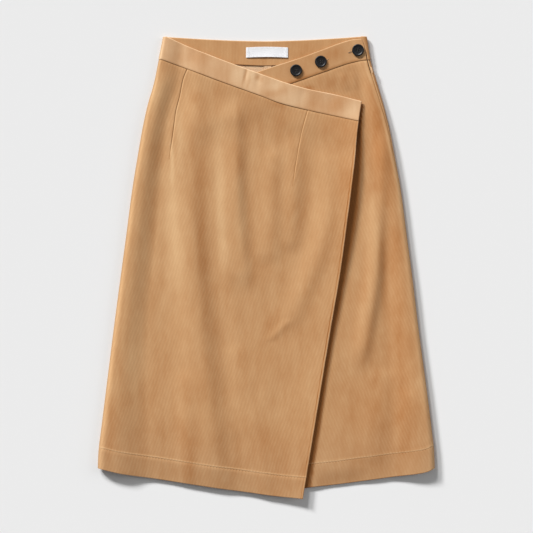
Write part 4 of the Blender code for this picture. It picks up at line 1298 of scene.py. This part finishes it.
def make_button(name, x, down):
    """A turned four-hole button with a raised rim and its thread."""
    r, h = BUTTON_RADIUS, BUTTON_HIGH
    profile = [(0.0, h - 1.0), (3.6, h - 1.02), (5.6, h - 0.96), (6.6, h - 0.82),
               (7.2, h - 0.58), (7.7, h - 0.28), (8.2, h - 0.07), (8.7, h),
               (9.2, h - 0.03), (9.6, h - 0.15), (9.95, h - 0.4),
               (10.18, h - 0.75), (r, h - 1.15), (10.26, h * 0.45),
               (10.0, h * 0.3), (9.4, 0.5), (8.4, 0.2), (6.9, 0.03), (0.0, 0.0)]
    mesh = bpy.data.meshes.new(name)
    mesh.from_pydata([(a * MM, 0, b * MM) for a, b in profile],
                     [(i, i + 1) for i in range(len(profile) - 1)], [])
    mesh.materials.append(black)
    obj = bpy.data.objects.new(name + "_turned", mesh)
    bpy.context.scene.collection.objects.link(obj)
    screw = obj.modifiers.new("Turn", "SCREW")
    screw.steps = screw.render_steps = 64
    screw.use_merge_vertices = True
    screw.merge_threshold = 0.00001
    screw.use_smooth_shade = True

    z, across, along, up = surface_frame(x, down)
    proud = 0.0
    for i in range(24):
        angle = i * math.pi / 12
        a, b = r * math.cos(angle), r * math.sin(angle)
        proud = max(proud, float(under_height(x + a, down - b))
                    - (z + across * a + along * b))
    rest = z + BAND_THICK / 2 + SEAM_GAP + proud
    obj.location = (x * MM, (TOP_Y - down) * MM, rest * MM)
    obj.rotation_mode = "QUATERNION"
    obj.rotation_quaternion = Vector((0, 0, 1)).rotation_difference(up)

    holes = bpy.data.collections.get("button_holes") \
        or bpy.data.collections.new("button_holes")
    spin = {"button_1": 0.35, "button_2": 0.1, "button_3": -0.25}[name]
    at = [(2.1 * math.cos(spin + math.pi / 4 + i * math.pi / 2),
           2.1 * math.sin(spin + math.pi / 4 + i * math.pi / 2)) for i in range(4)]
    verts, faces = [], []
    for a, b in at:
        first = len(verts)
        for high in (-2.0, 6.0):
            for k in range(20):
                t = 2 * math.pi * k / 20
                verts.append(((a + math.cos(t)) * MM, (b + math.sin(t)) * MM,
                              high * MM))
        faces.append(tuple(first + k for k in range(19, -1, -1)))
        faces.append(tuple(first + 20 + k for k in range(20)))
        faces += [(first + k, first + (k + 1) % 20, first + 20 + (k + 1) % 20,
                   first + 20 + k) for k in range(20)]
    hole_mesh = bpy.data.meshes.new(name + "_holes")
    hole_mesh.from_pydata(verts, [], faces)
    hole = bpy.data.objects.new(name + "_holes", hole_mesh)
    holes.objects.link(hole)
    hole.parent = obj
    hole.hide_render = True
    cut = obj.modifiers.new("Holes", "BOOLEAN")
    cut.operation = "DIFFERENCE"
    cut.solver = "EXACT"
    cut.object = hole
    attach(obj, "root")
    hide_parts(name)

    # thread: two strands between each pair of holes, down through them
    turn = obj.rotation_quaternion.to_matrix()
    base = np.array(obj.location) / MM
    verts, faces = [], []
    for one, two in ((0, 1), (2, 3)):
        for off in (-0.33, 0.33):
            a, b = np.array(at[one]), np.array(at[two])
            side = np.array((-(b - a)[1], (b - a)[0])) / np.linalg.norm(b - a)
            a, b = a + side * off, b + side * off
            path = [(*a, h - 2.6), (*a, h - 1.3), (*(a * 0.94 + b * 0.06), h - 0.88),
                    (*(a * 0.8 + b * 0.2), h - 0.68), (*(a * 0.5 + b * 0.5), h - 0.62),
                    (*(a * 0.2 + b * 0.8), h - 0.68), (*(a * 0.06 + b * 0.94), h - 0.88),
                    (*b, h - 1.3), (*b, h - 2.6)]
            path = [np.array(turn @ Vector(p)) + base for p in path]
            first = len(verts)
            sides = 8
            for i, p in enumerate(path):
                ahead = path[min(i + 1, len(path) - 1)] - path[max(i - 1, 0)]
                ahead /= np.linalg.norm(ahead)
                across_v = np.cross(ahead, np.array(turn @ Vector((side[0], side[1], 0.01))))
                across_v /= np.linalg.norm(across_v)
                other = np.cross(ahead, across_v)
                for k in range(sides):
                    t = 2 * math.pi * k / sides
                    verts.append(tuple((p + 0.3 * (across_v * math.cos(t)
                                                   + other * math.sin(t))) * MM))
            for i in range(len(path) - 1):
                for k in range(sides):
                    k2 = (k + 1) % sides
                    a0 = first + i * sides
                    faces.append((a0 + k, a0 + k2, a0 + sides + k2, a0 + sides + k))
            end = first + (len(path) - 1) * sides
            faces.append(tuple(first + k for k in range(sides - 1, -1, -1)))
            faces.append(tuple(end + k for k in range(sides)))
    strands = add_mesh(name + "_thread", verts, faces, thread_dark, "button_black")
    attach(strands, "root")


def make_buttonhole(name, start, end):
    """A worked slit: two beads of close stitches with a dark line between."""
    a = np.array((start[0], TOP_Y - start[1]))
    b = np.array((end[0], TOP_Y - end[1]))
    length = np.linalg.norm(b - a)
    along = np.array((*((b - a) / length), 0.0))
    side = np.array((-along[1], along[0], 0.0))
    places = []
    for row in (-1, 1):
        for at in np.arange(0.0, length + 0.01, 0.55):
            x, y = (a + (b - a) * at / length)[:2]
            z, across, slope, up = surface_frame(x, TOP_Y - y)
            up = np.array(up)
            centre = np.array((x, y, z)) + side * row * 0.62 \
                + up * (BAND_THICK / 2 + 0.05)
            places.append((centre, side + along * 0.15, up, 0.62, 0.3, 0.28))
    edge = add_mesh(name + "_edge", *beads(places), thread_tan, "cord")
    middle = (a + b) / 2
    z, across, slope, up = surface_frame(middle[0], TOP_Y - middle[1])
    up = np.array(up)
    centre = np.array((*middle, z)) + up * (BAND_THICK / 2 + 0.12)
    slit = add_mesh(name + "_slit", *beads(
        [(centre, along, up, length / 2 + 0.3, 0.34, 0.2)]), thread_dark, "cord")
    for obj in (edge, slit):
        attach(obj, "root")
    return edge, slit


label = make_label()
allowance = make_allowance()
tab = make_tab()
over_stitches = hem_stitches("over_hem_stitches", over, HEM_OVER)
under_stitches = hem_stitches("under_hem_stitches", under, HEM_UNDER)
for obj in (over_stitches, under_stitches):
    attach(obj, "root")
for name, (x, down) in BUTTONS.items():
    make_button(name, x, down)
for i, (start, end) in enumerate(BUTTONHOLES):
    make_buttonhole(f"buttonhole_{i + 1}", start, end)

settle(backs["left"], "back_left")
settle(backs["right"], "back_right")
settle(back_band, "back_waistband")
settle(front_under, "front_under")
settle(under_band, "under_waistband")
settle(front_over, "front_over")
settle(over_band, "over_waistband")
settle(label, "label")
settle(allowance, "centre_back_seam")
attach(tab, "root")       # a strip too narrow to count as a sheet
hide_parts("side_tab")


# ---------------------------------------------------------------- the studio
def make_floor():
    mesh = bpy.data.meshes.new("floor")
    size, low = 4.0, -0.0002
    mesh.from_pydata([(-size, -size, low), (size, -size, low),
                      (size, size, low), (-size, size, low)], [], [(0, 1, 2, 3)])
    s = Shader("floor_paper")
    place = s.node("TexCoord").outputs["Object"]
    grain = s.noise(place, 900.0, 2.0)
    tone = s.mix(s.math("ADD", s.times(grain, 0.3), 0.5, clamp=True),
                 rgb((0.797, 0.797, 0.797)), rgb((0.803, 0.803, 0.803)))
    s.set(Base_Color=tone, Roughness=0.95)
    s.set(**{"Specular IOR Level": 0.0})
    mesh.materials.append(s.material)
    obj = bpy.data.objects.new("floor", mesh)
    bpy.context.scene.collection.objects.link(obj)


def make_light():
    """Soft light from the upper left and some from above, and a pale room."""
    world = bpy.data.worlds.new("soft_room")
    world.use_nodes = True
    world.node_tree.nodes["Background"].inputs[0].default_value = (1, 1, 1, 1)
    world.node_tree.nodes["Background"].inputs[1].default_value = 0.22
    bpy.context.scene.world = world
    for name, energy, right, down, high, wide in (
            ("key", 4.32, 0.655, 0.755, 20.0, 9.0),
            ("top", 1.94, 0.42, 0.907, 26.0, 10.0),
            ("fill", 0.62, -0.96, 0.25, 24.0, 30.0)):
        lamp = bpy.data.lights.new(name, "SUN")
        lamp.energy = energy
        lamp.angle = math.radians(wide)
        obj = bpy.data.objects.new(name, lamp)
        bpy.context.scene.collection.objects.link(obj)
        high = math.radians(high)
        flat = Vector((right, -down, 0)).normalized() * math.cos(high)
        toward = Vector((flat.x, flat.y, -math.sin(high)))
        obj.rotation_mode = "QUATERNION"
        obj.rotation_quaternion = toward.to_track_quat("-Z", "Y")
        obj.location = (-right * 0.8, down * 0.8, 0.6)


def make_camera():
    data = bpy.data.cameras.new("camera")
    data.lens = 118.2
    data.sensor_width = 36.0
    data.clip_start, data.clip_end = 0.1, 30.0
    obj = bpy.data.objects.new("camera", data)
    obj.location = (0.00043, 0.0017, 3.0)
    bpy.context.scene.collection.objects.link(obj)
    bpy.context.scene.camera = obj


make_floor()
make_light()
make_camera()
bpy.context.scene.view_settings.view_transform = "Standard"
bpy.context.scene.view_settings.look = "None"
